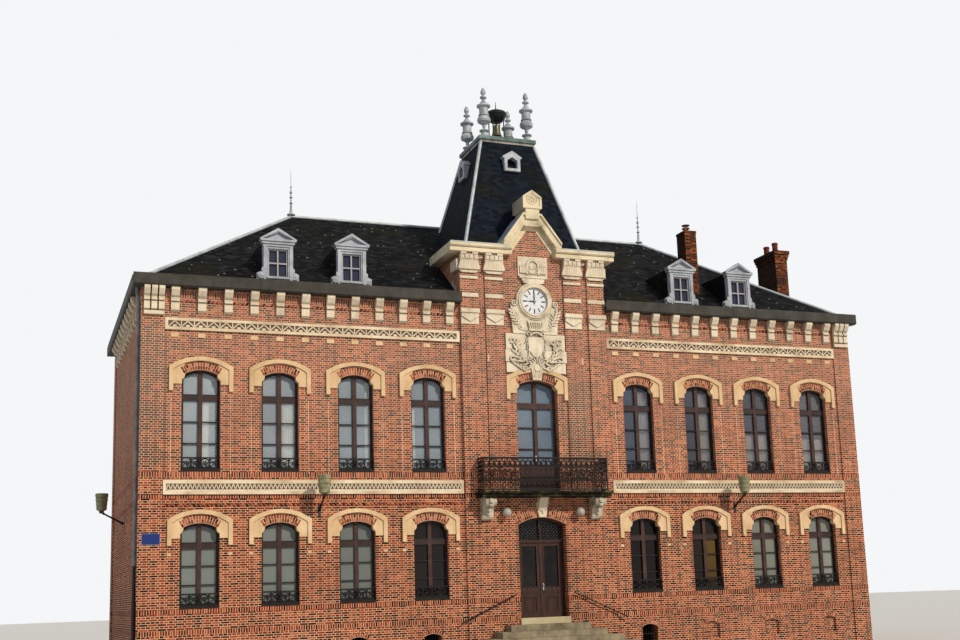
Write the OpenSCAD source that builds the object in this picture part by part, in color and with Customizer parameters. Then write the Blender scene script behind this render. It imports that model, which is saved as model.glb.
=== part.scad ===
// Town hall: two storeys of brick with stone dressings, a central pavilion with a clock gable,
// hipped slate roofs and a steep truncated tower roof. Millimetres, +Z up, the front faces -Y.
// The origin is on the ground, at the middle of the block that the walls enclose.

/* [Block] */
// Width of the walls along the street
building_w = 25540; // [25300:10:26500]
// Depth of the walls from front to back
building_d = 10940; // [10200:10:12000]
// Thickness of the brick walls
wall_t = 400; // [350:10:500]
// Height of the walls up to the eaves box
wall_top = 11730; // [11700:10:11900]
// Width of the brick strip at each corner
corner_w = 650; // [500:10:700]
// How far the corner strips stand out
corner_proud = 40; // [20:5:60]

/* [Floors] */
// Height of the ground floor above the street
ground_floor_z = 1400; // [1350:10:1450]
// Height of the first floor above the street
first_floor_z = 5450; // [5430:10:5500]
// Height of the attic floor above the street
attic_floor_z = 11450; // [11200:10:11600]
// Thickness of the built floors
floor_t = 260; // [200:10:320]
// Thickness of the basement floor
base_t = 150; // [100:10:250]

/* [Windows] */
// Number of window bays in each wing
bays = 4; // [1:1:4]
// Distance between the bays
bay_pitch = 2400; // [2300:10:2450]
// Distance from the building's middle to the first bay of a wing
first_bay_x = 3825; // [3750:5:3900]
// Width of the window openings
window_w = 1150; // [1000:10:1200]
// Rise of the segmental window heads
arch_rise = 190; // [150:5:230]
// Sill height of the ground floor windows
ground_sill_z = 2080; // [2000:10:2150]
// Height of the ground floor windows
ground_window_h = 2500; // [2400:10:2600]
// Sill height of the first floor windows
first_sill_z = 6120; // [6050:10:6200]
// Height of the first floor windows
first_window_h = 3100; // [3000:10:3200]
// Depth of the brick reveal in front of a frame
reveal = 160; // [100:5:200]
// Width of the frame members
frame_w = 70; // [50:5:90]
// Depth of the frame members
frame_d = 70; // [50:5:90]
// Thickness of the glass
glass_t = 12; // [6:1:20]

/* [Pavilion] */
// Width of the central pavilion
pavilion_w = 5300; // [5200:10:5500]
// How far the pavilion stands out from the wings
pavilion_proud = 60; // [40:5:120]
// Top of the pavilion's brickwork beside the gable
pavilion_top = 13500; // [13400:10:13600]
// Width of each of the four pilasters
pilaster_w = 640; // [600:10:700]
// Gap between the two pilasters of a pair
pilaster_gap = 250; // [200:10:300]
// How far the pilasters stand out from the pavilion wall
pilaster_proud = 50; // [30:5:80]
// Width of the balcony door opening
balcony_door_w = 1480; // [1400:10:1600]

/* [Entrance] */
// Width of the entrance opening
door_w = 1700; // [1600:10:1800]
// Height of the entrance opening at its crown
door_h = 3240; // [3150:10:3300]
// Underside of the transom above the leaves
transom_z = 3810; // [3750:10:3850]
// Height of the transom
transom_h = 100; // [80:5:120]
// Thickness of the door leaves
leaf_t = 55; // [45:5:70]
// Running gap round the leaves
leaf_gap = 5; // [5:1:8]
// Number of steps below the threshold
step_count = 6; // [4:1:6]
// Depth of the treads in front of the door
tread_front = 350; // [300:10:380]
// Depth of the treads at the sides
tread_side = 430; // [380:10:460]
// Depth of the landing in front of the threshold
landing_front = 450; // [400:10:600]

/* [Roof] */
// Height of the main ridge
ridge_z = 16050; // [15800:10:16300]
// Height of the eaves box
gutter_h = 370; // [300:10:420]
// How far the eaves box stands out from the walls
eaves_out = 310; // [250:10:350]
// Distance from the eaves to the ridge's end, along the building
hip_run = 5950; // [5700:10:6200]
// Half width of the tower roof at its foot
tower_half = 2200; // [2100:10:2300]
// Height of the tower roof's foot
tower_foot_z = 13800; // [13760:10:13900]
// Height of the tower roof's top
tower_top_z = 18240; // [18000:10:18600]
// Half width of the tower roof at its top
tower_top_half = 1030; // [950:10:1100]
// Distance from the front wall to the middle of the tower roof
tower_y = 2780; // [2700:10:2850]

/* [Clock] */
// Height of the clock's centre
clock_z = 11930; // [11900:5:11960]
// Radius of the dial
dial_r = 460; // [420:5:480]
// Length of the minute hand
minute_len = 390; // [350:5:410]
// Length of the hour hand
hour_len = 270; // [220:5:300]
// Radius of the arbor that carries the hands
arbor_r = 12; // [10:1:16]

/* [Hidden] */
$fn = 48;

half_w = building_w / 2;
half_d = building_d / 2;
pav_half = pavilion_w / 2;
bay_xs = [for (i = [0 : bays - 1]) first_bay_x + i * bay_pitch];
all_bays = concat([for (x = bay_xs) -x], bay_xs);
// The window rows as [sill height, opening height]
storeys = [[ground_sill_z, ground_window_h], [first_sill_z, first_window_h]];
door_crown_z = ground_floor_z + door_h;
door_rise = 230;
door_spring_z = door_crown_z - door_rise;
first_crown_z = first_sill_z + first_window_h;

// Sets a piece drawn with the front wall's face at y = 0 into the building's frame.
module on_front() { translate([0, -half_d, 0]) children(); }
// Lifts a piece.
module up(z) { translate([0, 0, z]) children(); }
// Repeats a front piece on the back wall, turned round.
module on_back() { rotate([0, 0, 180]) on_front() children(); }
module both_faces() {
  on_front() children();
  on_back() children();
}
// Sets a piece drawn for a wall face at y = 0 onto the left or right end wall.
module on_end(side) { rotate([0, 0, side * 90]) translate([0, -half_w, 0]) children(); }
// Mirrors a piece about the building's middle.
module both_sides() {
  children();
  mirror([1, 0, 0]) children();
}
// Stands an outline drawn in x and z upright, from y0 to y1.
module upright(y0, y1) { translate([0, y1, 0]) rotate([90, 0, 0]) linear_extrude(y1 - y0) children(); }
// Extrudes an outline drawn in y and z along x, from x0 to x1.
module along_x(x0, x1) {
  translate([x0, 0, 0]) rotate([90, 0, 90]) linear_extrude(x1 - x0) children();
}
// An opening outline with a segmental head, its foot at 0.
module arched(w, h, rise) {
  r = (w * w / 4 + rise * rise) / (2 * rise);
  spring = h - rise;
  translate([-w / 2, 0]) square([w, spring - 1]);
  intersection() {
    translate([0, h - r]) circle(r = r, $fn = 96);
    translate([-w / 2, spring - 2]) square([w, rise + 3]);
  }
}

// Basement floor
module foundation_slab() {
  color("gray") translate([-half_w + wall_t, -half_d + wall_t, 0])
    cube([building_w - 2 * wall_t, building_d - 2 * wall_t, base_t]);
}

vent_w = 580;
vent_h = 560;
vent_z = 480;
vent_rise = 90;
vent_recess = 90;
// The basement openings: those right of the door's first one are bricked up.
open_vents = concat([for (x = bay_xs) -x], [first_bay_x]);
blind_vents = [for (i = [1 : 1 : bays - 1]) bay_xs[i]];

module wing_openings(xs) {
  for (x = xs, s = storeys) translate([x, 0, s[0]]) upright(-1, wall_t + 1)
    arched(window_w, s[1], arch_rise);
}
module vent_cut(x, y1) { translate([x, 0, vent_z]) upright(-1, y1) arched(vent_w, vent_h, vent_rise); }

// One wing of the front wall, on the right of the door; the strip at its outer end stands out.
module wing_wall() {
  translate([pav_half, 0, 0]) cube([half_w - pav_half, wall_t, wall_top]);
  translate([half_w - corner_w, -corner_proud, 0]) cube([corner_w + corner_proud, corner_proud,
    wall_top]);
}
module front_walls() {
  color("firebrick") on_front() {
    difference() {
      mirror([1, 0, 0]) wing_wall();
      wing_openings([for (x = bay_xs) -x]);
      for (x = bay_xs) vent_cut(-x, wall_t + 1);
    }
    difference() {
      wing_wall();
      wing_openings(bay_xs);
      vent_cut(first_bay_x, wall_t + 1);
      for (x = blind_vents) vent_cut(x, vent_recess);
    }
  }
}

// The brickwork on both sides of the entrance, up to where its arch springs
module door_piers() {
  color("firebrick") on_front() both_sides()
    translate([door_w / 2, -pavilion_proud, 0])
      cube([pav_half - door_w / 2, wall_t + pavilion_proud, door_spring_z]);
}
module door_base_wall() {
  color("firebrick") on_front()
    translate([-door_w / 2, 0, 0]) cube([door_w, wall_t, ground_floor_z - threshold_h]);
}

// The raking cornice of the gable: its outer line runs from rake_foot to rake_top, as [x, z], and it is
// rake_drop deep, measured upright, over the slope of the brickwork.
rake_foot = [1070, pavilion_top + 530];
rake_top = [335, pavilion_top + 1510];
rake_drop = 460;
function rake_z(x) = rake_foot[1] + (rake_foot[0] - x) * (rake_top[1] - rake_foot[1])
  / (rake_foot[0] - rake_top[0]);
gable_foot_half = 810;
gable_top_half = 300;
gable_foot_z = rake_z(gable_foot_half) - rake_drop;
gable_top_z = rake_z(gable_top_half) - rake_drop;
pilaster_xs = [pav_half - pilaster_w / 2, pav_half - 1.5 * pilaster_w - pilaster_gap];
// The pavilion's wall above the entrance arch, with its gable and its four pilasters
module pavilion_wall() {
  color("firebrick") on_front() difference() {
    union() {
      upright(-pavilion_proud, wall_t)
        polygon([[-pav_half, door_spring_z], [pav_half, door_spring_z], [pav_half, pavilion_top],
          [gable_foot_half, pavilion_top], [gable_foot_half, gable_foot_z],
          [gable_top_half, gable_top_z], [-gable_top_half, gable_top_z],
          [-gable_foot_half, gable_foot_z], [-gable_foot_half, pavilion_top],
          [-pav_half, pavilion_top]]);
      both_sides() for (x = pilaster_xs)
        translate([x - pilaster_w / 2, -pavilion_proud - pilaster_proud, first_floor_z])
          cube([pilaster_w, pilaster_proud + 1, pavilion_top - first_floor_z]);
    }
    up(ground_floor_z) upright(-pavilion_proud - 1, wall_t + 1)
      arched(door_w, door_h, door_rise);
    up(first_floor_z) upright(-pavilion_proud - 1, wall_t + 1)
      arched(balcony_door_w, first_crown_z - first_floor_z, arch_rise + 20);
  }
}

// The back wall has a middle bay too.
back_bays = concat(all_bays, [0]);
// Repeats a piece at every window of the given rows, on its foot; $s is the row.
module each_window(rows) {
  on_front() for (x = all_bays, $s = rows) translate([x, 0, $s[0]]) children();
  on_back() for (x = back_bays, $s = rows) translate([x, 0, $s[0]]) children();
}
module back_wall() {
  color("firebrick") on_back() difference() {
    union() {
      translate([-half_w, 0, 0]) cube([building_w, wall_t, wall_top]);
      both_sides() translate([half_w - corner_w, -corner_proud, 0])
        cube([corner_w + corner_proud, corner_proud, wall_top]);
    }
    wing_openings(back_bays);
  }
}

// The end walls stand between the front and the back wall.
module side_walls() {
  color("firebrick") for (side = [-1, 1]) on_end(side) {
    translate([-half_d + wall_t, 0, 0]) cube([building_d - 2 * wall_t, wall_t, wall_top]);
    both_sides() translate([half_d - corner_w, -corner_proud, 0])
      cube([corner_w, corner_proud, wall_top]);
  }
}

// The ground, first and attic floors between the walls
module floors() {
  color("burlywood") for (z = [ground_floor_z, first_floor_z, attic_floor_z])
    translate([-half_w + wall_t, -half_d + wall_t, z - floor_t])
      cube([building_w - 2 * wall_t, building_d - 2 * wall_t, floor_t]);
}

band_z = 5430;
band_h = 430;
band_out = 60;
frieze_z = 10430;
frieze_h = 370;
band_end = half_w - corner_w - 5;
band_start = pav_half + 40;
// A stone course with a sunk field between its borders
module course(x0, x1, h) {
  border = 90;
  difference() {
    translate([x0, -band_out, 0]) cube([x1 - x0, band_out, h]);
    translate([x0 + border, -band_out - 1, border]) cube([x1 - x0 - 2 * border, 26, h - 2 * border]);
  }
}
module stone_bands() {
  color("wheat") {
    on_front() both_sides() {
      up(band_z) course(band_start, band_end, band_h);
      up(frieze_z) course(band_start, band_end, frieze_h);
    }
    on_back() {
      up(band_z) course(-band_end, band_end, band_h);
      up(frieze_z) course(-band_end, band_end, frieze_h);
    }
  }
}

hood_half = 955;
hood_t = 125;
hood_out = 80;
hood_rise = 300;
hood_above = 400;
hood_drop = 660;
springer_out = 45;
springer_drop = 450;
// How far a springer stone reaches into the opening, under the brick arch
springer_reach = 90;
// The joint between a springer's lining and the brick arch
springer_joint = 0.4;
// The outline under a hood mould, measured from the crown of the opening
module hood_inner(half) {
  translate([0, -hood_drop]) arched(2 * (half - hood_t), hood_drop + hood_above - hood_t, hood_rise - 25);
}
// The stone beside an opening's head, its corner cut back in a cove: w is the opening's width
module springer_outline(w, half) {
  inner = w / 2 - springer_reach;
  intersection() {
    hood_inner(half + 1);
    polygon([[w / 2, -springer_drop], [half, -springer_drop], [half, hood_above], [inner + 30,
      hood_above],
      [inner, -arch_rise + 60], [inner, -arch_rise], [inner + 10, -arch_rise - 45],
      [inner + 38, -arch_rise - 85], [w / 2, -arch_rise - 130]]);
  }
}
// The hood mould over an opening: an arch with shouldered ends that drop beside the head, on two springers
module hood(half, w, rise, crown_z, face) {
  up(crown_z) {
    upright(-face - hood_out, -face) difference() {
      translate([0, -hood_drop]) arched(2 * half, hood_drop + hood_above, hood_rise);
      hood_inner(half);
      translate([-half, -hood_drop - 1]) square([2 * half, 1]);
    }
    both_sides() {
      upright(-face - springer_out, -face) springer_outline(w, half);
      upright(-face - 1, reveal) intersection() {
        springer_outline(w, half);
        translate([0, -hood_drop - springer_joint]) arched(w, hood_drop, rise);
      }
    }
  }
}
module window_hoods() {
  color("wheat") {
    each_window(storeys) hood(hood_half, window_w, arch_rise, $s[1], 0);
    on_front() difference() {
      hood(balcony_hood_half, balcony_door_w, arch_rise + 20, first_crown_z, pavilion_proud);
      upright(-pavilion_proud - hood_out - 1, -pavilion_proud + 1) balcony_key_outline();
    }
  }
}
balcony_hood_half = 1110;
// The keystone over the balcony door, which widens towards the carved panel
key_low_half = 150;
key_top_half = 240;
key_h = 550;
module balcony_key_outline() {
  translate([0, first_crown_z]) polygon([[-key_low_half, 0], [key_low_half, 0], [key_top_half, key_h],
    [-key_top_half, key_h]]);
}
// Small square stones: below the feet of the ground floor hoods, and in a row under the frieze
stone_w = 230;
stone_h = 75;
stone_out = 20;
small_stone_h = 130;
module small_stones() {
  color("wheat") {
    both_faces() for (x = all_bays, s = [-1, 1])
      translate([x + s * (hood_half - hood_t / 2) - stone_w / 4, -stone_out,
        ground_sill_z + ground_window_h - hood_drop - 300]) cube([stone_w / 2, stone_out, stone_h]);
    both_faces() both_sides() small_stone_row(bracket_xs);
    on_back() small_stone_row(middle_bracket_xs);
  }
}
module small_stone_row(xs) {
  for (x = xs) translate([x - stone_w / 2, -stone_out, frieze_z - 220])
    cube([stone_w, stone_out, small_stone_h]);
}

sill_h = 70;
sill_out = 15;
// A sill closes the foot of an opening and stands out a little.
module window_sills() {
  color("dimgray") each_window(storeys)
    translate([-window_w / 2, -sill_out, 0]) cube([window_w, sill_out + reveal, sill_h]);
}

mullion_w = 125;
transom_w = 190;
bar_w = 28;
// A window frame: casements that meet on a wide stile, a deep transom with upper lights above it, and
// glazing bars at the given heights
module frame_outline(w, h, rise, transom, bars) {
  difference() {
    arched(w, h, rise);
    difference() {
      translate([0, frame_w]) arched(w - 2 * frame_w, h - 2 * frame_w, rise - 8);
      translate([-mullion_w / 2, 0]) square([mullion_w, h]);
      translate([-w / 2, transom - transom_w / 2]) square([w, transom_w]);
      for (z = bars) translate([-w / 2, z - bar_w / 2]) square([w, bar_w]);
    }
  }
}
// Heights above the sill's top: of the transom's middle and of the two glazing bars
ground_bars = [1775, [615, 1170]];
first_bars = [2200, [795, 1450]];
module window_frame(b) {
  up(sill_h) upright(reveal, reveal + frame_d)
    frame_outline(window_w, $s[1] - sill_h, arch_rise, b[0], b[1]);
}
module ground_window_frames() { color("saddlebrown") each_window([storeys[0]]) window_frame(ground_bars); }
module first_window_frames() { color("saddlebrown") each_window([storeys[1]]) window_frame(first_bars); }
// A sheet of glass that backs a frame's members
module pane(z, w, h, rise, y) {
  up(z) upright(y, y + glass_t) arched(w, h, rise);
}
module window_glass() {
  color("lightblue", 0.5) {
    each_window(storeys) pane(sill_h, window_w, $s[1] - sill_h, arch_rise, reveal + frame_d);
    on_front() {
      pane(first_floor_z + 60, balcony_door_w, first_crown_z - first_floor_z - 60, arch_rise + 20,
        reveal + frame_d);
      pane(transom_z + transom_h, door_w, door_crown_z - transom_z - transom_h, door_rise,
        door_y + door_frame_d);
      for (x = dormer_xs) translate([x - dormer_window_w / 2, dormer_frame_y + frame_d,
        dormer_z + dormer_sill]) cube([dormer_window_w, glass_t, dormer_window_h]);
    }
  }
}

guard_t = 16;
guard_foot = 40;
guard_field = 300;
guard_pitch = 284;
// A flat ring, w wide
module ring(r, w) {
  difference() {
    circle(r = r);
    circle(r = r - w);
  }
}
// The outline of a low cast guard: large rings that touch two rails, with small rings in and between them
module guard_outline() {
  mid = guard_foot + guard_field / 2;
  big_r = guard_field / 2 + 2;
  translate([-window_w / 2, 0]) square([window_w, guard_foot]);
  translate([-window_w / 2, guard_foot + guard_field]) square([window_w, 25]);
  intersection() {
    translate([-window_w / 2, 0]) square([window_w, guard_foot + guard_field + 1]);
    union() {
      for (i = [-1.5 : 1.5]) translate([i * guard_pitch, mid]) {
        ring(big_r, 14);
        translate([0, 72 - big_r]) ring(60, 12);
      }
      for (i = [-1 : 1]) translate([i * guard_pitch, mid + 115]) ring(36, 10);
      for (s = [-1, 1]) translate([s * (window_w / 2 - 9) - 9, 0])
        square([18, guard_foot + guard_field]);
    }
  }
}
// It stands on the sill, half way into the reveal.
module window_guards() {
  color("black") each_window(storeys) up(sill_h)
    upright((reveal - guard_t) / 2, (reveal + guard_t) / 2) guard_outline();
}

bracket_w = 250;
bracket_pitch = bay_pitch / 3;
bracket_h = 750;
bracket_z = wall_top - bracket_h;
bracket_xs = [for (i = [-1 : 3 * (bays - 1) + 1]) first_bay_x + i * bracket_pitch];
// The back has brackets between those of its wings too.
middle_bracket_xs = [for (i = [-3 : 3]) i * bracket_xs[0] / 4];
corner_bracket_xs = [for (i = [0 : 2]) half_w - 110 - i * 215];
corner_bracket_w = 170;
// A stone bracket in three tiers that carries the eaves box
module bracket(w, face) {
  translate([0, -face, bracket_z]) along_x(-w / 2, w / 2) polygon([[0, 0], [-90, 60], [-90, 280], [-60,
    290],
    [-60, 320], [-120, 330], [-120, 390], [-80, 400], [-80, 450], [-150, 500], [-240, 660], [-240,
      bracket_h],
    [0, bracket_h]]);
}
module cornice_brackets() {
  color("wheat") {
    both_faces() both_sides() {
      for (x = bracket_xs) translate([x, 0, 0]) bracket(bracket_w, 0);
      for (x = corner_bracket_xs) translate([x, 0, 0]) bracket(corner_bracket_w, corner_proud);
      // The block under the three brackets of a corner
      translate([corner_bracket_xs[2] - corner_bracket_w / 2, -corner_proud - 90, bracket_z - 110])
        cube([corner_bracket_xs[0] - corner_bracket_xs[2] + corner_bracket_w, 90, 110]);
    }
    on_back() for (x = middle_bracket_xs) translate([x, 0, 0]) bracket(bracket_w, 0);
    for (side = [-1, 1]) on_end(side) both_sides() {
      for (y = [0 : bracket_pitch : half_d - corner_w - bracket_w]) translate([y, 0, 0])
        bracket(bracket_w, 0);
    }
  }
}

gutter_wall = 25;
// The eaves box: a boxed metal gutter, open at its top
module gutter_profile() {
  difference() {
    polygon([[-eaves_out, wall_top + 40], [-eaves_out + 40, wall_top], [0, wall_top],
      [0, wall_top + gutter_h - 60], [-eaves_out, wall_top + gutter_h]]);
    translate([-eaves_out + gutter_wall, wall_top + 90])
      square([eaves_out - 2 * gutter_wall - 30, gutter_h]);
  }
}
module front_back_gutters() {
  color("dimgray") {
    on_front() both_sides() along_x(pav_half, half_w + eaves_out) gutter_profile();
    on_back() along_x(-half_w - eaves_out, half_w + eaves_out) gutter_profile();
  }
}
module side_gutters() {
  color("dimgray") for (side = [-1, 1]) on_end(side) along_x(-half_d, half_d) gutter_profile();
}

eaves_z = wall_top + gutter_h - 60;
// The roof's thickness, measured upright: its underside meets the top of the walls.
roof_drop = eaves_z - wall_top;
ridge_half = half_w + eaves_out - hip_run;
roof_rise = ridge_z - eaves_z;
hip_width = half_w - ridge_half;
// A roof slope as a strip in y and z, from the eaves up to the ridge
module slope_strip() {
  polygon([[-half_d, eaves_z], [0, ridge_z], [0, ridge_z - roof_drop], [-half_d, wall_top]]);
}
// All that lies under the main roof's surface
module roof_volume() {
  polyhedron(
    points = [[-half_w, -half_d, eaves_z], [half_w, -half_d, eaves_z], [half_w, half_d, eaves_z],
      [-half_w, half_d, eaves_z], [-ridge_half, 0, ridge_z], [ridge_half, 0, ridge_z],
      [-half_w, -half_d, 0], [half_w, -half_d, 0], [half_w, half_d, 0], [-half_w, half_d, 0]],
    faces = [[4, 5, 1, 0], [5, 2, 1], [5, 4, 3, 2], [4, 0, 3], [0, 1, 7, 6], [1, 2, 8, 7], [2, 3, 9, 8],
      [3, 0, 6, 9], [6, 7, 8, 9]]);
}
sky = 30000;
// One long slope, cut by the planes of the hips
module long_slope() {
  intersection() {
    along_x(-half_w, half_w) slope_strip();
    linear_extrude(sky) polygon([[-half_w, -half_d], [half_w, -half_d], [ridge_half, 0], [-ridge_half,
      0]]);
  }
}
// How far the tower roof's faces lean in for each millimetre of height
tower_run = (tower_half - tower_top_half) / (tower_top_z - tower_foot_z);
// The point of a tower hip at a given height
function tower_corner(sx, sy, z) = let (h = tower_half - tower_run * (z - tower_foot_z)) [sx * h,
  tower_y + sy * h, z];
// Where the rear hips of the tower roof meet the main roof's front slope
tower_meets_z = (eaves_z + roof_rise / half_d * (tower_y + tower_half + tower_run * tower_foot_z))
  / (1 + roof_rise / half_d * tower_run);
// The space that the tower roof and the pavilion's head take out of the front slope
module tower_solid() {
  translate([0, tower_y, 0]) polyhedron(
    points = [for (p = [[tower_half, tower_foot_z], [tower_top_half, tower_top_z]], c = [[-1, -1],
      [1, -1], [1, 1], [-1, 1]]) [c[0] * p[0], c[1] * p[0], p[1]]],
    faces = [[0, 1, 2, 3], [7, 6, 5, 4], [4, 5, 1, 0], [5, 6, 2, 1], [6, 7, 3, 2], [7, 4, 0, 3]]);
}
module main_roof_front() {
  color("darkslategray") difference() {
    long_slope();
    on_front() {
      tower_solid();
      translate([-pav_half, -1, 0]) cube([2 * pav_half, head_depth + 1, sky]);
      translate([-tower_half, 0, 0]) cube([2 * tower_half, tower_y + tower_half, tower_foot_z]);
      for (x = dormer_xs) translate([x - dormer_w / 2, -1, dormer_z])
        cube([dormer_w, dormer_depth + 1, dormer_h - 10]);
      chimney_holes();
    }
  }
}
module main_roof_back() { color("darkslategray") rotate([0, 0, 180]) long_slope(); }
module main_roof_ends() {
  color("darkslategray") difference() {
    both_sides() intersection() {
      upright(-half_d, half_d) polygon([[ridge_half, ridge_z], [half_w, eaves_z],
        [half_w, wall_top], [ridge_half, ridge_z - roof_drop]]);
      linear_extrude(sky) polygon([[ridge_half, 0], [half_w, -half_d], [half_w, half_d]]);
    }
    on_front() chimney_holes();
  }
}

cap_r = 60;
// How far a hip cap's notch stands off the hip that it sits on
cap_clear = 0.4;
// A round metal cap along an edge from a to b
module cap_bar(a, b, r) {
  d = b - a;
  len = norm(d);
  translate(a) rotate([0, acos(d[2] / len), atan2(d[1], d[0])]) cylinder(r = r, h = len, $fn = 24);
}
function unit(v) = v / norm(v);
// A cap along the hip from a to b, notched to sit on the two slopes whose normals are n1 and n2
module hip_cap(a, b, n1, n2, r) {
  d = unit(b - a);
  across = unit([-d[1], d[0], 0]);
  down = cross(across, d);
  reach = 4 * r;
  foot = [for (n = [n1, n2]) let (t = unit(cross(d, n)), s = sign(t * down)) [s * t * down,
    s * t * across]];
  translate(a) rotate([0, acos(d[2]), atan2(d[1], d[0])]) linear_extrude(norm(b - a)) difference() {
    circle(r = r, $fn = 24);
    translate([-cap_clear, 0]) polygon([[0, 0], reach * foot[0], [reach, 0], reach * foot[1]]);
  }
}
cap_start = 90;
module zinc_caps() {
  color("gainsboro") {
    along_x(-ridge_half, ridge_half) difference() {
      translate([0, ridge_z]) circle(r = cap_r, $fn = 24);
      polygon([[-half_d, eaves_z], [0, ridge_z], [half_d, eaves_z]]);
    }
    for (sx = [-1, 1], sy = [-1, 1]) {
      top = [sx * ridge_half, 0, ridge_z];
      low = [sx * half_w, sy * half_d, eaves_z];
      dir = unit(low - top);
      hip_cap(top + cap_start * dir, low - cap_start * dir, [0, sy * roof_rise, half_d],
        [sx * roof_rise, 0, hip_width], cap_r);
    }
    on_front() for (sx = [-1, 1], sy = [-1, 1]) {
      n1 = [0, sy, tower_run];
      n2 = [sx, 0, tower_run];
      low_z = sy < 0 ? tower_foot_z + cap_start : tower_meets_z + 2 * cap_start;
      hip_cap(tower_corner(sx, sy, low_z), tower_corner(sx, sy, tower_top_z - 20), n1, n2, cap_r);
    }
  }
}

// A turned metal finial: a bell-shaped foot, an urn with its neck, a cap and two balls
finial_h = 1900;
module finial_outline(h) {
  scale([h / finial_h, h / finial_h]) polygon([[0, 0], [150, 0], [140, 80], [110, 170], [180, 215], [180,
    245],
    [60, 270], [50, 330], [70, 400], [60, 440], [120, 490], [230, 560], [250, 640], [225, 720], [170,
      790],
    [200, 800], [200, 830], [165, 840], [165, 1100], [200, 1120], [250, 1150], [250, 1200], [150, 1240],
    [110, 1330], [50, 1400], [60, 1450], [120, 1480], [120, 1530], [50, 1570], [60, 1620], [95, 1660],
    [90, 1750], [60, 1830], [20, 1880], [0, 1900]]);
}
// The slender finial on the main ridge: a cone with rings, a ball and a long spike
module ridge_finial() {
  rotate_extrude($fn = 24) polygon([[0, 0], [150, 0], [150, 30], [70, 70], [55, 130], [30, 420], [62,
    440],
    [62, 465], [28, 485], [24, 640], [60, 665], [60, 690], [24, 715], [22, 800], [52, 850], [52, 880],
    [20, 930], [16, 1040], [38, 1060], [38, 1085], [12, 1110], [6, 1750], [0, 1750]]);
}
// Where the four finials stand on the tower roof, from its middle
finial_x = tower_top_half - 200;
finial_y = tower_top_half - 130;
module finial(h) { rotate_extrude($fn = 24) finial_outline(h); }
module roof_finials() {
  color("silver") {
    for (s = [-1, 1]) translate([s * ridge_half, 0, ridge_z + cap_r]) ridge_finial();
    on_front() translate([0, tower_y, platform_z + platform_h]) for (sx = [-1, 1], sy = [-1, 1])
      translate([sx * finial_x, sy * finial_y, 0]) finial(finial_h);
  }
}

dormer_w = 960;
dormer_h = 1320;
dormer_z = 12250;
dormer_y = 380;
dormer_front_t = 160;
dormer_depth = 2700;
// The dormers on the right stand a little off the window bays.
dormer_shift = 240;
dormer_xs = [for (i = [-2, -1]) i * bay_pitch - first_bay_x, for (i = [1, 2])
  i * bay_pitch + first_bay_x - dormer_shift];
dormer_window_w = 640;
dormer_window_h = 930;
dormer_sill = 90;
dormer_frame_y = dormer_y - 60;
dormer_wall = 90;
dormer_gable_h = 280;
dormer_entablature_h = 230;
dormer_scroll_r = 130;
// The dormer's front wall with its opening
module dormer_front_outline() {
  difference() {
    translate([-dormer_w / 2, 0]) square([dormer_w, dormer_h]);
    translate([-dormer_window_w / 2, dormer_sill]) square([dormer_window_w, dormer_window_h]);
  }
}
// The scroll at a dormer's foot: a round end and a hollow curve that runs up into the jamb
module dormer_scroll_outline() {
  reach = dormer_scroll_r + 60;
  translate([dormer_w / 2 + 60, dormer_scroll_r]) circle(r = dormer_scroll_r);
  difference() {
    translate([dormer_w / 2 - 1, 0]) square([reach, 3.4 * dormer_scroll_r]);
    translate([dormer_w / 2 + reach + 20, 3.6 * dormer_scroll_r]) circle(r = 1.95 * dormer_scroll_r);
  }
}
// A dormer front: wall, jambs, an entablature in three steps, a pediment in two, and a scroll at each foot
module dormer_front() {
  half = dormer_w / 2;
  low = dormer_h - dormer_entablature_h;
  top = dormer_h + dormer_gable_h;
  upright(0, dormer_front_t) {
    dormer_front_outline();
    polygon([[-half, dormer_h - 1], [half, dormer_h - 1], [0, top]]);
  }
  both_sides() {
    upright(-30, 1) translate([dormer_window_w / 2 + 40, 0])
      square([half - dormer_window_w / 2 - 55, low]);
    upright(20, dormer_front_t - 20) dormer_scroll_outline();
    // The raking moulding, whose upper step stands out further
    for (step = [[0, 45, 60], [45, 90, 100]]) upright(-step[2], dormer_front_t) polygon([
      [half + step[0], dormer_h - 1], [half + step[1] + 40, dormer_h - 1], [0, top + step[1]],
      [0, top + step[0] - 60], [half - 60, dormer_h + 40]]);
  }
  for (step = [[0, 80, 30, 0], [80, 160, 70, 45], [160, 230, 110, 90]]) upright(-step[2], dormer_front_t)
    translate([-half - step[3], low + step[0]]) square([2 * (half + step[3]), step[1] - step[0]]);
  upright(-60, 1) translate([-dormer_window_w / 2 - 60, dormer_sill - 60])
    square([dormer_window_w + 120, 55]);
}
module dormer_fronts() {
  color("gainsboro") difference() {
    on_front() for (x = dormer_xs) translate([x, dormer_y - dormer_front_t + 40, dormer_z])
      dormer_front();
    roof_volume();
  }
}
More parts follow.
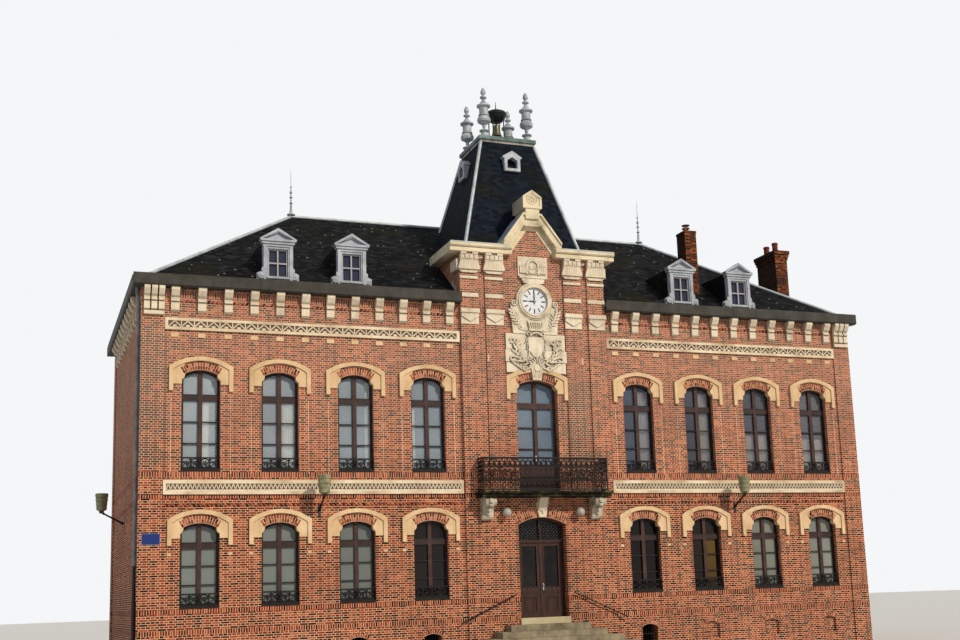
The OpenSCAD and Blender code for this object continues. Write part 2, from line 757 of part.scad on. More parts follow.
// The slated cheeks and small pitched roof behind a dormer front
module dormer_roofs() {
  inner = dormer_w / 2 - dormer_wall;
  color("darkslategray") on_front() difference() {
    for (x = dormer_xs) translate([x, dormer_y + 40, dormer_z]) difference() {
      upright(0, dormer_depth - 40) polygon([[-dormer_w / 2, 0], [dormer_w / 2, 0],
        [dormer_w / 2, dormer_h], [0, dormer_h + dormer_gable_h - 20], [-dormer_w / 2, dormer_h]]);
      translate([0, -1, -1]) upright(0, dormer_depth) polygon([[-inner, 0], [inner, 0],
        [inner, dormer_h - 60], [0, dormer_h + dormer_gable_h - 140], [-inner, dormer_h - 60]]);
    }
    translate([0, half_d, 0]) roof_volume();
  }
}
module dormer_windows() {
  rail = 45;
  light = (dormer_window_w - 3 * rail) / 2;
  rise = (dormer_window_h - 3 * rail) / 2;
  color("whitesmoke") on_front() for (x = dormer_xs)
    translate([x, dormer_frame_y, dormer_z + dormer_sill]) upright(0, frame_d)
      difference() {
        translate([-dormer_window_w / 2, 0]) square([dormer_window_w, dormer_window_h]);
        for (i = [0, 1], j = [0, 1])
          translate([-dormer_window_w / 2 + rail + i * (light + rail), rail + j * (rise + rail)])
            square([light, rise]);
      }
}

// Chimneys as [x, y, width, depth, top height]: a slender one in the front slope, a broad one at the end
chimney_list = [[half_w - 5970, 1200, 480, 620, ridge_z - 680], [half_w - 1230, 2400, 540, 1300,
  ridge_z - 800]];
chimney_foot = attic_floor_z;
// Courses that step out under a chimney's top, as [height, distance out], from the lowest up
plain_courses = [[90, 15]];
stepped_courses = [[110, 30], [110, 60], [140, 90]];
function sum(v, i = 0) = i < len(v) ? v[i][0] + sum(v, i + 1) : 0;
module chimney(c, courses) {
  translate([c[0], c[1], chimney_foot]) cube([c[2], c[3], c[4] - chimney_foot - sum(courses)]);
  for (i = [0 : len(courses) - 1]) let (k = courses[i])
    translate([c[0] - k[1], c[1] - k[1], c[4] - sum(courses, i)])
      cube([c[2] + 2 * k[1], c[3] + 2 * k[1], k[0]]);
}
module chimney_holes() {
  for (c = chimney_list) translate([c[0], c[1], 0]) cube([c[2], c[3], c[4]]);
}
module chimneys() {
  color("sienna") on_front() {
    chimney(chimney_list[0], plain_courses);
    chimney(chimney_list[1], stepped_courses);
  }
}
pot_h = 420;
module pot(r, h) {
  difference() {
    cylinder(r = r, h = h, $fn = 32);
    up(60) cylinder(r = r - 25, h = h, $fn = 32);
  }
}
// Two round pots on the broad chimney, and a metal cowl with two discs on the slender one
module chimney_pots() {
  broad = chimney_list[1];
  slim = chimney_list[0];
  color("indianred") on_front() {
    for (y = [0.27, 0.73]) translate([broad[0] + broad[2] / 2, broad[1] + y * broad[3], broad[4]]) {
      pot(110, pot_h);
      difference() {
        up(pot_h - 70) cylinder(r = 125, h = 50, $fn = 32);
        cylinder(r = 100, h = pot_h, $fn = 32);
      }
    }
    translate([slim[0] + slim[2] / 2, slim[1] + slim[3] / 2, slim[4]]) {
      pot(90, 110);
      for (a = [0 : 3]) rotate([0, 0, 45 + 90 * a]) translate([70, -8, 100]) cube([16, 16, 190]);
      for (z = [150, 270]) up(z) difference() {
        cylinder(r = 150, h = 22, $fn = 32);
        if (z < 200) up(-1) cylinder(r = 64, h = 30, $fn = 32);
      }
    }
  }
}

cornice_out = 300;
cornice_h = 300;
cornice_half = pav_half + 370;
head_depth = 1900;
// The outline of the pavilion's main cornice, drawn in y and z with the wall's face at 0: two flat faces,
// one over the other, with a groove between them
module cornice_profile() {
  groove_z = 130;
  polygon([[0, 0], [-cornice_out + 70, 0], [-cornice_out + 70, groove_z], [-cornice_out + 100, groove_z],
    [-cornice_out + 100, groove_z + 20], [-cornice_out + 40, groove_z + 20], [-cornice_out,
      groove_z + 60],
    [-cornice_out, cornice_h], [0, cornice_h]]);
}
gable_depth = 1000;
// A strip of the raking cornice in front of the wall, between two depths under its outer line
module rake_strip(high, low, out) {
  upright(-pavilion_proud - out, -pavilion_proud) intersection() {
    polygon([rake_foot - [0, high], rake_top - [0, high], [0, rake_top[1] - high], [0,
      rake_top[1] - low],
      [gable_top_half, rake_top[1] - low], [gable_top_half, rake_z(gable_top_half) - low],
      rake_foot - [0, low]]);
    translate([0, pavilion_top + cornice_h - 1]) square(2 * rake_foot[0]);
  }
}
apex_half = 350;
apex_foot_z = rake_top[1] + 165;
apex_side_h = 420;
apex_h = 660;
apex_out = 200;
apex_back = 650;
module apex_outline(inset) {
  half = apex_half - inset;
  translate([0, apex_foot_z]) polygon([[-half, inset], [half, inset], [half, apex_side_h - inset / 2],
    [0, apex_h - 1.2 * inset], [-half, apex_side_h - inset / 2]]);
}
border_t = 25;
rake_out = 180;
module pavilion_cornice() {
  color("wheat") on_front() {
    difference() {
      union() {
        // The level cornice on both sides of the gable, and its returns
        translate([0, -pavilion_proud, pavilion_top]) both_sides()
          along_x(gable_foot_half, cornice_half) cornice_profile();
        // The flat deck between the gable and the tower roof
        up(pavilion_top) linear_extrude(cornice_h) difference() {
          translate([-cornice_half, -pavilion_proud])
            square([2 * cornice_half, head_depth + pavilion_proud]);
          translate([-gable_foot_half, -pavilion_proud - 1])
            square([2 * gable_foot_half, wall_t + pavilion_proud + 1]);
        }
        // The raking cornices of the gable, with a fillet along their outer and their inner edge
        both_sides() {
          upright(-pavilion_proud - rake_out, gable_depth)
            polygon([[gable_foot_half, pavilion_top],
            [rake_foot[0], pavilion_top], rake_foot, rake_top, [0, rake_top[1]], [0,
              gable_top_z],
            [gable_top_half, gable_top_z], [gable_foot_half, gable_foot_z]]);
          rake_strip(0, 85, rake_out + 60);
          rake_strip(390, rake_drop, rake_out + 25);
          // The flush stone border inside them
          upright(-pavilion_proud - border_t, -pavilion_proud) polygon([
            [gable_foot_half, pavilion_top + 34], [gable_foot_half, gable_foot_z],
            [gable_top_half, gable_top_z], [0, gable_top_z], [0, pavilion_top + 930],
            [165, pavilion_top + 930]]);
        }
        // The block on the gable's top, on its neck, with a sunk panel
        upright(-pavilion_proud - apex_out - 50, apex_back)
          translate([-apex_half + 100, rake_top[1] - 210])
          square([2 * apex_half - 200, apex_foot_z - rake_top[1] + 180]);
        upright(-pavilion_proud - apex_out - 20, apex_back - 30)
          translate([-apex_half + 80, apex_foot_z - 31]) square([2 * apex_half - 160, 32]);
        difference() {
          upright(-pavilion_proud - apex_out - 70, apex_back) apex_outline(0);
          upright(-pavilion_proud - apex_out - 71, -pavilion_proud - apex_out - 45)
            apex_outline(80);
        }
      }
      tower_solid();
      translate([-tower_half, tower_y - tower_half, 0])
        cube([2 * tower_half, 2 * tower_half, tower_foot_z]);
    }
  }
}

cap_h = 700;
cap_z = pavilion_top - cap_h;
cap_half = 375;
cap_top_half = 310;
cap_neck_h = 110;
cap_body_h = 350;
cap_out = 110;
shield_h = 520;
shield_z = pavilion_top - 2455;
band_stones = [[pavilion_top - 900, 90], [pavilion_top - 1530, 135]];
// A capital: a neck that widens, a body that draws in again, four square blocks and two on top of them
module capital() {
  row_z = cap_neck_h + cap_body_h;
  row_h = 160;
  row_pitch = (2 * cap_top_half - 140) / 3;
  upright(-60, 0) polygon([[-250, 0], [250, 0], [cap_half, cap_neck_h], [-cap_half, cap_neck_h]]);
  upright(-cap_out, 0) polygon([[-cap_half, cap_neck_h], [cap_half, cap_neck_h], [cap_half,
    cap_neck_h + 80],
    [cap_top_half, row_z - 60], [cap_top_half, row_z], [-cap_top_half, row_z], [-cap_top_half,
      row_z - 60],
    [-cap_half, cap_neck_h + 80]]);
  translate([-cap_top_half, -90, row_z - 1]) cube([2 * cap_top_half, 90, cap_h - row_z + 1]);
  for (i = [0 : 3]) translate([-cap_top_half + i * row_pitch, -140, row_z - 1])
    cube([140, 140, row_h + 1]);
  for (s = [-1, 1]) translate([s * 205 - 100, -160, row_z + row_h - 1])
    cube([200, 160, cap_h - row_z - row_h + 1]);
}
// A pointed shield on a plate, under a ledge
module pilaster_shield() {
  ledge_h = 130;
  upright(-20, 0) translate([-310, 0]) square([620, shield_h]);
  upright(-60, 0) polygon([[0, 85], [305, 260], [305, shield_h - ledge_h + 1], [-305,
    shield_h - ledge_h + 1],
    [-305, 260]]);
  upright(-90, 0) translate([-325, shield_h - ledge_h]) square([650, ledge_h]);
}
// The stones of the pilasters: capitals, thin bands and shields
module pilaster_stones() {
  face = pavilion_proud + pilaster_proud;
  color("wheat") on_front() both_sides() {
    for (x = pilaster_xs) translate([x, -face, 0]) {
      up(cap_z) capital();
      for (b = band_stones) translate([-pilaster_w / 2, -30, b[0]]) cube([pilaster_w, 30, b[1]]);
      up(shield_z) pilaster_shield();
    }
    // The small stone between two capitals, and the outer capital's return along the side
    translate([(pilaster_xs[0] + pilaster_xs[1]) / 2 - 90, -face, cap_z + cap_h - 170])
      cube([180, face - pavilion_proud, 100]);
    translate([pav_half, -face, cap_z + cap_neck_h]) cube([cap_out, face + 500, cap_body_h]);
  }
}

dial_seat = 60;
dial_gap = 5;
// The ring round the dial, drawn as radius and height from the wall's face
ring_profile = [[0, 0], [665, 0], [665, 80], [640, 110], [600, 110], [590, 150], [545, 150], [520, 175],
  [480, 175],
  [dial_r + dial_gap, 150], [dial_r + dial_gap, dial_seat], [0, dial_seat]];
panel_half = 1080;
panel_top = clock_z - 1130;
panel_low = panel_top - 1330;
shoulder_half = pilaster_xs[1] - pilaster_w / 2 - 5;
plaque_low = clock_z + 880;
plaque_half = 540;
arch_z = plaque_low + 360;
// The blank shield of the carved panel: upright sides that curve in to a point
module shield_outline(half, h) {
  curve_z = half * sqrt(3) - h;
  translate([-half, curve_z - 1]) square([2 * half, 1 - curve_z]);
  intersection() {
    translate([-half, -h]) square([2 * half, h + curve_z]);
    intersection_for(s = [-1, 1]) translate([s * half, curve_z]) circle(r = 2 * half);
  }
}
// The carved stonework round the clock, its panel below and the plaque above
module clock_surround() {
  color("wheat") on_front() translate([0, -pavilion_proud, 0]) {
    // The panel, whose foot follows the hood over the balcony door and leaves room for the keystone
    difference() {
      union() {
        upright(-60, 0) translate([-panel_half, panel_low])
          square([2 * panel_half, panel_top - panel_low]);
        upright(-90, 0) translate([-shoulder_half, panel_low + 360])
          square([2 * shoulder_half, 400]);
        both_sides() upright(-110, 0) {
          polygon([[940, panel_low + 420], [890, panel_low + 330], [470, panel_low + 40],
            [430, panel_low + 140]]);
          translate([440, panel_low + 130]) circle(r = 95);
        }
      }
      up(first_crown_z - hood_drop) upright(-200, 1)
        arched(2 * balcony_hood_half, hood_drop + hood_above, hood_rise);
      upright(-200, 1) balcony_key_outline();
    }
    // The shield with its raised face, under a small arched hood
    up(panel_top - 120) {
      upright(-90, -59) shield_outline(340, 790);
      upright(-125, -59) shield_outline(290, 725);
    }
    upright(-160, 0) translate([0, panel_top - 230]) intersection() {
      ring(290, 50);
      translate([-300, 150]) square([600, 200]);
    }
    // The pedestal under the ring with its bowl, and the volutes beside the ring
    upright(-85, 0) difference() {
      polygon([[-810, panel_top - 1], [810, panel_top - 1], [870, clock_z - 85], [-870,
        clock_z - 85]]);
      translate([0, clock_z]) circle(r = 640);
    }
    upright(-130, 0) difference() {
      polygon([[-230, panel_top + 100], [230, panel_top + 100], [300, panel_top + 450],
        [-300, panel_top + 450]]);
      translate([0, clock_z]) circle(r = 640);
    }
    both_sides() translate([750, 0, clock_z - 85]) {
      upright(-100, 0) circle(r = 110);
      upright(-135, -99) ring(95, 35);
      upright(-135, -99) circle(r = 30);
    }
    up(clock_z) rotate([90, 0, 0]) rotate_extrude($fn = 96) polygon(ring_profile);
    // The block between the ring and the plaque
    upright(-90, 0) difference() {
      polygon([[-350, clock_z + 630], [350, clock_z + 630], [440, plaque_low - 70], [-440,
        plaque_low - 70]]);
      translate([0, clock_z]) circle(r = 640);
    }
    upright(-110, 0) translate([-505, plaque_low - 71]) square([1010, 71]);
    // The plaque with a relief arch between two wing blocks
    upright(-50, 0) translate([-plaque_half, plaque_low - 1])
      square([2 * plaque_half, pavilion_top - plaque_low]);
    upright(-85, 0) both_sides() {
      translate([240, plaque_low + 90]) square([240, 250]);
      translate([170, plaque_low + 60]) square([70, arch_z - plaque_low - 60]);
    }
    upright(-85, 0) translate([0, arch_z]) intersection() {
      ring(240, 70);
      translate([-250, -1]) square([500, 260]);
    }
  }
}
dial_y = pavilion_proud + dial_seat;
dial_t = 20;
hand_gap = 6;
hand_t = 5;
hub_h = 14;
// The dial with the arbor that carries both hands, and its head
module clock_dial() {
  color("white") on_front() translate([0, -dial_y, clock_z]) rotate([90, 0, 0]) {
    cylinder(r = dial_r, h = dial_t, $fn = 64);
    cylinder(r = arbor_r, h = dial_t + 2 * hand_gap + 2 * hub_h + 8, $fn = 32);
    up(dial_t + 2 * hand_gap + 2 * hub_h - 5) cylinder(r = arbor_r + 8, h = 10, $fn = 32);
  }
}
arbor_clear = 0.3;
// A hand that points along +z at rest, with a short tail past its hub
module hand(len, w, level) {
  translate([0, -dial_y - dial_t - level, clock_z]) rotate([90, 0, 0]) difference() {
    union() {
      cylinder(r = 40, h = hub_h, $fn = 32);
      linear_extrude(hand_t) polygon([[-w / 3, -len / 4], [w / 3, -len / 4], [w / 2, len / 2], [0,
        len],
        [-w / 2, len / 2]]);
    }
    up(-1) cylinder(r = arbor_r + arbor_clear, h = hub_h + 2, $fn = 32);
  }
}
module minute_hand() { color("black") on_front() hand(minute_len, 34, hand_gap + hub_h + 0.3); }
module hour_hand() {
  color("black") on_front() up(clock_z) rotate([0, -90, 0]) up(-clock_z)
    hand(hour_len, 46, hand_gap);
}

tower_t = 160;
// One face of the tower roof: a slab that leans back, cut by the planes of the hips
module tower_face() {
  t = tower_t * sqrt(1 + tower_run * tower_run);
  intersection() {
    along_x(-tower_half, tower_half) polygon([[-tower_half, tower_foot_z], [-tower_top_half,
      tower_top_z],
      [-tower_top_half + t, tower_top_z], [-tower_half + t, tower_foot_z]]);
    linear_extrude(sky) polygon([[-tower_half, -tower_half], [tower_half, -tower_half], [0, 0]]);
  }
}
module tower_roof_front_back() {
  color("darkslategray") on_front() translate([0, tower_y, 0]) for (a = [0, 180]) rotate([0, 0, a])
    tower_face();
}
module tower_roof_sides() {
  color("darkslategray") on_front() translate([0, tower_y, 0]) for (a = [90, 270]) rotate([0, 0, a])
    tower_face();
}

// The brick cheeks between the main roof and the pavilion's cornice
module pavilion_cheeks() {
  color("firebrick") on_front() both_sides() translate([pav_half - 200, wall_t, attic_floor_z])
    cube([200, head_depth - wall_t, pavilion_top - attic_floor_z]);
}
// The framed base that carries the tower roof from the attic floor
module tower_base() {
  inner = tower_half - tower_t;
  color("darkslategray") on_front() translate([0, tower_y, attic_floor_z])
    linear_extrude(tower_foot_z - attic_floor_z) difference() {
      square(2 * tower_half, center = true);
      square(2 * inner, center = true);
    }
}

platform_z = tower_top_z;
platform_h = 230;
// The moulded metal platform that closes the tower roof
module tower_platform() {
  color("slategray") on_front() translate([0, tower_y, platform_z])
    for (tier = [[15, 0, 100], [70, 100, platform_h]]) up((tier[1] + tier[2]) / 2)
      cube([2 * (tower_top_half + tier[0]), 2 * (tower_top_half + tier[0]), tier[2] - tier[1]],
        center = true);
}
tower_dormer_z = 17080;
// Small pedimented hatches near the top of the tower roof
module tower_dormers() {
  color("gainsboro") on_front() difference() {
    translate([0, tower_y, tower_dormer_z]) for (a = [0 : 90 : 270]) rotate([0, 0, a])
      upright(-tower_top_half - 420, -tower_top_half) difference() {
        union() {
          translate([-300, 0]) square([600, 500]);
          polygon([[-360, 480], [360, 480], [360, 540], [0, 760], [-360, 540]]);
        }
        polygon([[-190, 100], [190, 100], [190, 400], [0, 520], [-190, 400]]);
      }
    tower_solid();
  }
}

canopy_h = 500;
canopy_z = tower_top_z + 1200;
canopy_post_r = 22;
canopy_post_x = 300;
// The bell's canopy: a domed metal cap with a spike, on four posts
module bell_canopy() {
  color("darkslategray") on_front() translate([0, tower_y, 0]) {
    up(canopy_z) rotate_extrude($fn = 48) polygon([[0, 0], [140, 0], [220, 40], [330, 160],
      [390, 290], [395, 340], [370, 390], [250, 450], [60, canopy_h - 10], [22, canopy_h + 10],
      [8, canopy_h + 320], [0, canopy_h + 320]]);
    for (a = [45 : 90 : 315]) rotate([0, 0, a]) translate([canopy_post_x, 0, platform_z + platform_h])
      cylinder(r = canopy_post_r, h = canopy_z + 140 - platform_z - platform_h, $fn = 20);
    up(canopy_z - bell_drop) cylinder(r = 30, h = bell_drop + 1, $fn = 20);
  }
}
bell_h = 450;
// How far the bell's crown hangs below the canopy
bell_drop = 90;
module bell() {
  color("darkgoldenrod") on_front() translate([0, tower_y, canopy_z - bell_drop - bell_h])
    rotate_extrude($fn = 48) polygon([[0, bell_h - 30], [0, bell_h], [60, bell_h], [110, bell_h - 20],
      [125, bell_h - 70], [140, 220], [170, 90], [210, 0], [180, 0], [145, 95], [115, 220], [100,
        bell_h - 85],
      [80, bell_h - 50]]);
}

// The keystones over the entrance, with its bracket under the balcony, and over the balcony door
door_key_h = 480;
module keystones() {
  color("wheat") on_front() translate([0, -pavilion_proud, 0]) {
    upright(-90, 0) translate([0, door_crown_z]) polygon([[-120, 0], [120, 0], [210, door_key_h],
      [-210, door_key_h]]);
    along_x(-150, 150) translate([0, first_floor_z - balcony_t])
      polygon([[0, 0], [-330, 0], [-330, -50],
      [-230, -110], [-180, -240], [-120, -400], [0, -480]]);
    upright(-110, 0) balcony_key_outline();
    upright(-140, -109) translate([0, first_crown_z + key_h - 150]) circle(r = 110);
  }
}

balcony_half = 2310;
balcony_out = 640;
balcony_t = 170;
console_h = 720;
console_out = 520;
// A scrolled console: a large roll at its head, a small one at its foot and a hollow curve between them
module console_outline() {
  head_r = 150;
  foot_r = 85;
  translate([-console_out + head_r, -head_r]) circle(r = head_r);
  translate([-foot_r, foot_r - console_h]) circle(r = foot_r);
  translate([-console_out + head_r, -head_r]) square([console_out - head_r, head_r]);
  difference() {
    translate([-console_out + head_r, foot_r - console_h]) square([console_out - head_r,
      console_h - head_r - foot_r + 1]);
    translate([-console_out + 20, -console_h + 190]) circle(r = 330);
  }
}
// The balcony's slab in two tiers, on two consoles
module balcony_slab() {
  tier = balcony_t / 2;
  color("wheat") on_front() translate([0, -pavilion_proud, first_floor_z]) {
    translate([-balcony_half, -balcony_out, -tier]) cube([2 * balcony_half, balcony_out, tier]);
    translate([-balcony_half + 45, -balcony_out + 45, -balcony_t])
      cube([2 * balcony_half - 90, balcony_out - 45, tier + 1]);
    both_sides() translate([1950, 0, -balcony_t]) {
      along_x(-190, 190) console_outline();
      along_x(-205, 205) translate([-console_out + 150, -150]) circle(r = 60);
    }
  }
}
rail_h = 1120;
rail_inset = 90;
rail_top = 40;
rail_t = 16;
rail_bar = 13;
// Heights of the three lower rails above the floor, and how high each of them is
rail_rows = [60, 360, 790];
rail_row_h = 20;
// A pointed oval as a flat bar
module pointed_oval(h, w, bar) {
  r = (h * h + w * w) / (4 * w);
  difference() {
    intersection_for(s = [-1, 1]) translate([s * (r - w / 2), 0]) circle(r = r, $fn = 64);
    intersection_for(s = [-1, 1]) translate([s * (r - w / 2), 0]) circle(r = r - bar, $fn = 64);
  }
}
// The upper half of a ring that stands on the height z
module half_ring(r, z) {
  translate([0, z]) intersection() {
    ring(r, rail_bar);
    translate([-r, 0]) square([2 * r, r]);
  }
}
// How high the rings' centres stand, and where the lower arches spring
function ring_z(r) = rail_rows[2] + rail_row_h - 2 + r;
function arch_spring(r) = rail_rows[1] + 2 - r;
// One repeat of the railing, r wide on each side: an arch, a pointed oval and a ring
module rail_bay(r) {
  half_ring(r, arch_spring(r));
  translate([0, (rail_rows[1] + rail_rows[2] + rail_row_h) / 2])
    pointed_oval(rail_rows[2] - rail_rows[1] - 10, 2 * r, rail_bar);
  translate([0, ring_z(r)]) ring(r, rail_bar);
}
// What stands between two repeats: the leg under the lower arches, and an arc over the rings
module rail_joint(r) {
  half_ring(r, ring_z(r) + r - 6);
  translate([-rail_bar / 2, rail_rows[0]]) square([rail_bar, arch_spring(r) - rail_rows[0] + 1]);
}
// A flat cast panel of n repeats between its rails
module rail_panel(length, n) {
  pitch = length / n;
  r = pitch / 2 + 1;
  for (i = [0 : n - 1]) translate([(i + 0.5) * pitch, 0]) rail_bay(r);
  intersection() {
    for (i = [0 : n]) translate([i * pitch, 0]) rail_joint(r);
    square([length, rail_h]);
  }
  for (z = rail_rows) translate([0, z]) square([length, rail_row_h]);
}
rail_front_n = 24;
rail_side_n = 3;
rail_post = 34;
// The side panels end this short of the pilasters, where their outer arches reach on by 1 mm.
rail_end = 1.3;
// The cast-iron railing: a patterned panel along the front and one at each side, posts and a flat top rail
module balcony_railing() {
  y0 = -pavilion_proud - balcony_out + rail_inset;
  y1 = -pavilion_proud - pilaster_proud;
  x0 = balcony_half - rail_inset;
  front = 2 * (x0 - rail_post);
  color("black") on_front() up(first_floor_z) {
    translate([-front / 2, 0, 0]) upright(y0 + (rail_post - rail_t) / 2, y0 + (rail_post + rail_t) / 2)
      rail_panel(front, rail_front_n);
    both_sides() along_x(x0 - (rail_post + rail_t) / 2, x0 - (rail_post - rail_t) / 2)
      translate([y0 + rail_post, 0]) rail_panel(y1 - y0 - rail_post - rail_end, rail_side_n);
    for (x = [-x0 : (2 * x0 - rail_post) / 4 : x0 - rail_post + 1]) translate([x, y0, 0])
      cube([rail_post, rail_post, rail_h - 1]);
    translate([-x0, y0 - 3, rail_h - rail_top]) cube([2 * x0, rail_top, rail_top]);
    both_sides() translate([x0 - rail_top, y0, rail_h - rail_top]) cube([rail_top, y1 - y0, rail_top]);
  }
}
balcony_panel_h = 900;
balcony_transom = 2870;
balcony_bars = [1420, 2130];
module balcony_doors() {
  h = first_crown_z - first_floor_z - 60;
  color("saddlebrown") on_front() {
    up(first_floor_z + 60) upright(reveal, reveal + frame_d) union() {
      frame_outline(balcony_door_w, h, arch_rise + 20, balcony_transom, balcony_bars);
      translate([-balcony_door_w / 2, 1]) square([balcony_door_w, balcony_panel_h]);
    }
    translate([-balcony_door_w / 2, -pavilion_proud, first_floor_z]) cube([balcony_door_w, wall_t, 60]);
  }
}

door_y = 200;
door_frame_w = 70;
door_frame_d = 90;
hinge_r = 16;
pin_r = 8;
pin_clear = 0.3;
hinge_h = 60;
leaf_edge = door_w / 2 - door_frame_w - leaf_gap;
leaf_w = leaf_edge - leaf_gap / 2;
leaf_z = ground_floor_z + leaf_gap;
leaf_h = transom_z - leaf_gap - leaf_z;
leaf_y = door_y + door_frame_d - leaf_t;
hinge_y = door_y + door_frame_d + hinge_r;
hinge_zs = [250, leaf_h / 2, leaf_h - 300];
// The fixed frame: jambs, transom, fanlight bars and the lower halves of the hinges with their pins
module door_frame() {
  color("saddlebrown") on_front() {
    upright(door_y, door_y + door_frame_d) translate([0, ground_floor_z]) difference() {
      arched(door_w, door_h, door_rise);
      translate([-door_w / 2 + door_frame_w, -1])
        square([door_w - 2 * door_frame_w, transom_z - ground_floor_z + 1]);
      difference() {
        translate([0, transom_z + transom_h - ground_floor_z]) arched(door_w - 2 * door_frame_w,
          door_crown_z - transom_z - transom_h - door_frame_w, door_rise - 8);
        translate([-30, 0]) square([60, door_h]);
      }
    }
    both_sides() for (z = hinge_zs) translate([leaf_edge, hinge_y, leaf_z + z - hinge_h]) {
      cylinder(r = hinge_r, h = hinge_h, $fn = 24);
      cylinder(r = pin_r, h = 2 * hinge_h, $fn = 24);
      translate([0, -hinge_r, 0]) cube([leaf_gap + 30, hinge_r, hinge_h]);
    }
  }
}
leaf_stile = 135;
pane_z = 980;
pane_h = leaf_h - pane_z - 100;
// Each leaf is rebated from inside for a sheet of glass.
rebate = 15;
rebate_depth = 20;
leaf_glass_t = 8;
leaf_glass_gap = 1;
// The right-hand leaf, seen from the street: a glazed opening over a sunk lower panel
module leaf() {
  pane_w = leaf_w - 2 * leaf_stile;
  difference() {
    union() {
      translate([leaf_gap / 2, leaf_y, leaf_z]) cube([leaf_w, leaf_t, leaf_h]);
      for (z = hinge_zs) translate([leaf_edge, hinge_y, leaf_z + z + pin_clear]) {
        cylinder(r = hinge_r, h = hinge_h - 1, $fn = 24);
        translate([-60, -hinge_r, 0]) cube([60, hinge_r, hinge_h - 1]);
      }
    }
    for (z = hinge_zs) translate([leaf_edge, hinge_y, leaf_z + z - 10])
      cylinder(r = pin_r + pin_clear, h = hinge_h + 20, $fn = 24);
    translate([leaf_gap / 2 + leaf_stile, leaf_y - 1, leaf_z]) {
      up(pane_z) cube([pane_w, leaf_t + 2, pane_h]);
      translate([40, 0, 160]) cube([pane_w - 80, 16, 500]);
    }
    translate([leaf_gap / 2 + leaf_stile - rebate, leaf_y + leaf_t - rebate_depth,
      leaf_z + pane_z - rebate])
      cube([pane_w + 2 * rebate, rebate_depth + 1, pane_h + 2 * rebate]);
  }
}
// The glass lies against the rebate's shoulder.
module leaf_glass() {
  edge = rebate - leaf_glass_gap;
  translate([leaf_gap / 2 + leaf_stile - edge, leaf_y + leaf_t - rebate_depth, leaf_z + pane_z - edge])
    cube([leaf_w - 2 * leaf_stile + 2 * edge, leaf_glass_t, pane_h + 2 * edge]);
}
module door_leaf_right() { color("saddlebrown") on_front() leaf(); }
module door_leaf_left() { color("saddlebrown") on_front() mirror([1, 0, 0]) leaf(); }
module right_leaf_glass() { color("lightblue", 0.5) on_front() leaf_glass(); }
module left_leaf_glass() { color("lightblue", 0.5) on_front() mirror([1, 0, 0]) leaf_glass(); }

riser = ground_floor_z / (step_count + 1);
threshold_h = riser;
threshold_half = 880;
// The flight of steps, which falls to the front and to both sides
module entrance_steps() {
  color("gray") on_front() difference() {
    for (i = [0 : step_count - 1]) {
      half = threshold_half + 510 + i * tread_side;
      out = pavilion_proud + landing_front + i * tread_front;
      translate([-half, -out, 0]) cube([2 * half, out, riser * (step_count - i)]);
    }
    translate([-pav_half, -pavilion_proud, -1]) cube([2 * pav_half, pavilion_proud + 1,
      ground_floor_z]);
  }
}
module threshold() {
  color("beige") on_front() {
    translate([-door_w / 2, -pavilion_proud, ground_floor_z - threshold_h])
      cube([door_w, wall_t + pavilion_proud, threshold_h]);
    translate([-threshold_half, -pavilion_proud - 60, ground_floor_z - threshold_h])
      cube([2 * threshold_half, 60, threshold_h]);
  }
}
// A round bar along each side of the flight, on brackets in the wall
module handrails() {
  color("black") on_front() both_sides() {
    cap_bar([1020, -pavilion_proud - 90, 2170], [2960, -pavilion_proud - 90, 1300], 20);
    for (p = [[1250, 2066], [2500, 1507]]) translate([p[0], -pavilion_proud - 90, p[1]])
      rotate([-90, 0, 0]) cylinder(r = 10, h = 90 + (p[0] > pav_half ? pavilion_proud : 0), $fn = 16);
  }
}
door_lamp_r = 150;
module door_lamps() {
  color("white") on_front() both_sides() translate([1310, -pavilion_proud, 4790]) {
    translate([0, -door_lamp_r - 70, 0]) sphere(r = door_lamp_r, $fn = 32);
    rotate([90, 0, 0]) cylinder(r = 20, h = 120, $fn = 20);
    rotate([90, 0, 0]) cylinder(r = 60, h = 20, $fn = 24);
  }
}
lamp_xs = [-first_bay_x - 1.5 * bay_pitch, first_bay_x + 1.5 * bay_pitch];
lamp_plate_z = 4740;
lamp_plate_h = 380;
lamp_out = 730;
lamp_rise = 380;
// A street lamp's head on its socket, as radius and height, with a groove between its ribs
lamp_ribs = 4;
lamp_rib_h = 140;
lamp_outline = concat([[0, -100], [60, -100], [90, -10], [130, 0]], [for (i = [0 : lamp_ribs - 1])
  let (r = 165 + 13 * i) each [[r, i * lamp_rib_h + 20], [r + 8, (i + 1) * lamp_rib_h - 15],
  [r - 6, (i + 1) * lamp_rib_h]]], [[0, lamp_ribs * lamp_rib_h + 20]]);
module wall_lamp() {
  translate([-40, -20, lamp_plate_z]) cube([80, 20, lamp_plate_h]);
  cap_bar([0, -15, lamp_plate_z + 200], [0, -lamp_out, lamp_plate_z + 200 + lamp_rise], 18);
  translate([0, -lamp_out, lamp_plate_z + 270 + lamp_rise]) rotate_extrude($fn = 32) polygon(lamp_outline);
}
// Street lamps on arms from the wall: two at the front, one at the left end
module wall_lamps() {
  color("dimgray") {
    on_front() for (x = lamp_xs) translate([x, 0, 0]) wall_lamp();
    on_end(-1) wall_lamp();
  }
}
pipe_r = 50;
neck_h = 500;
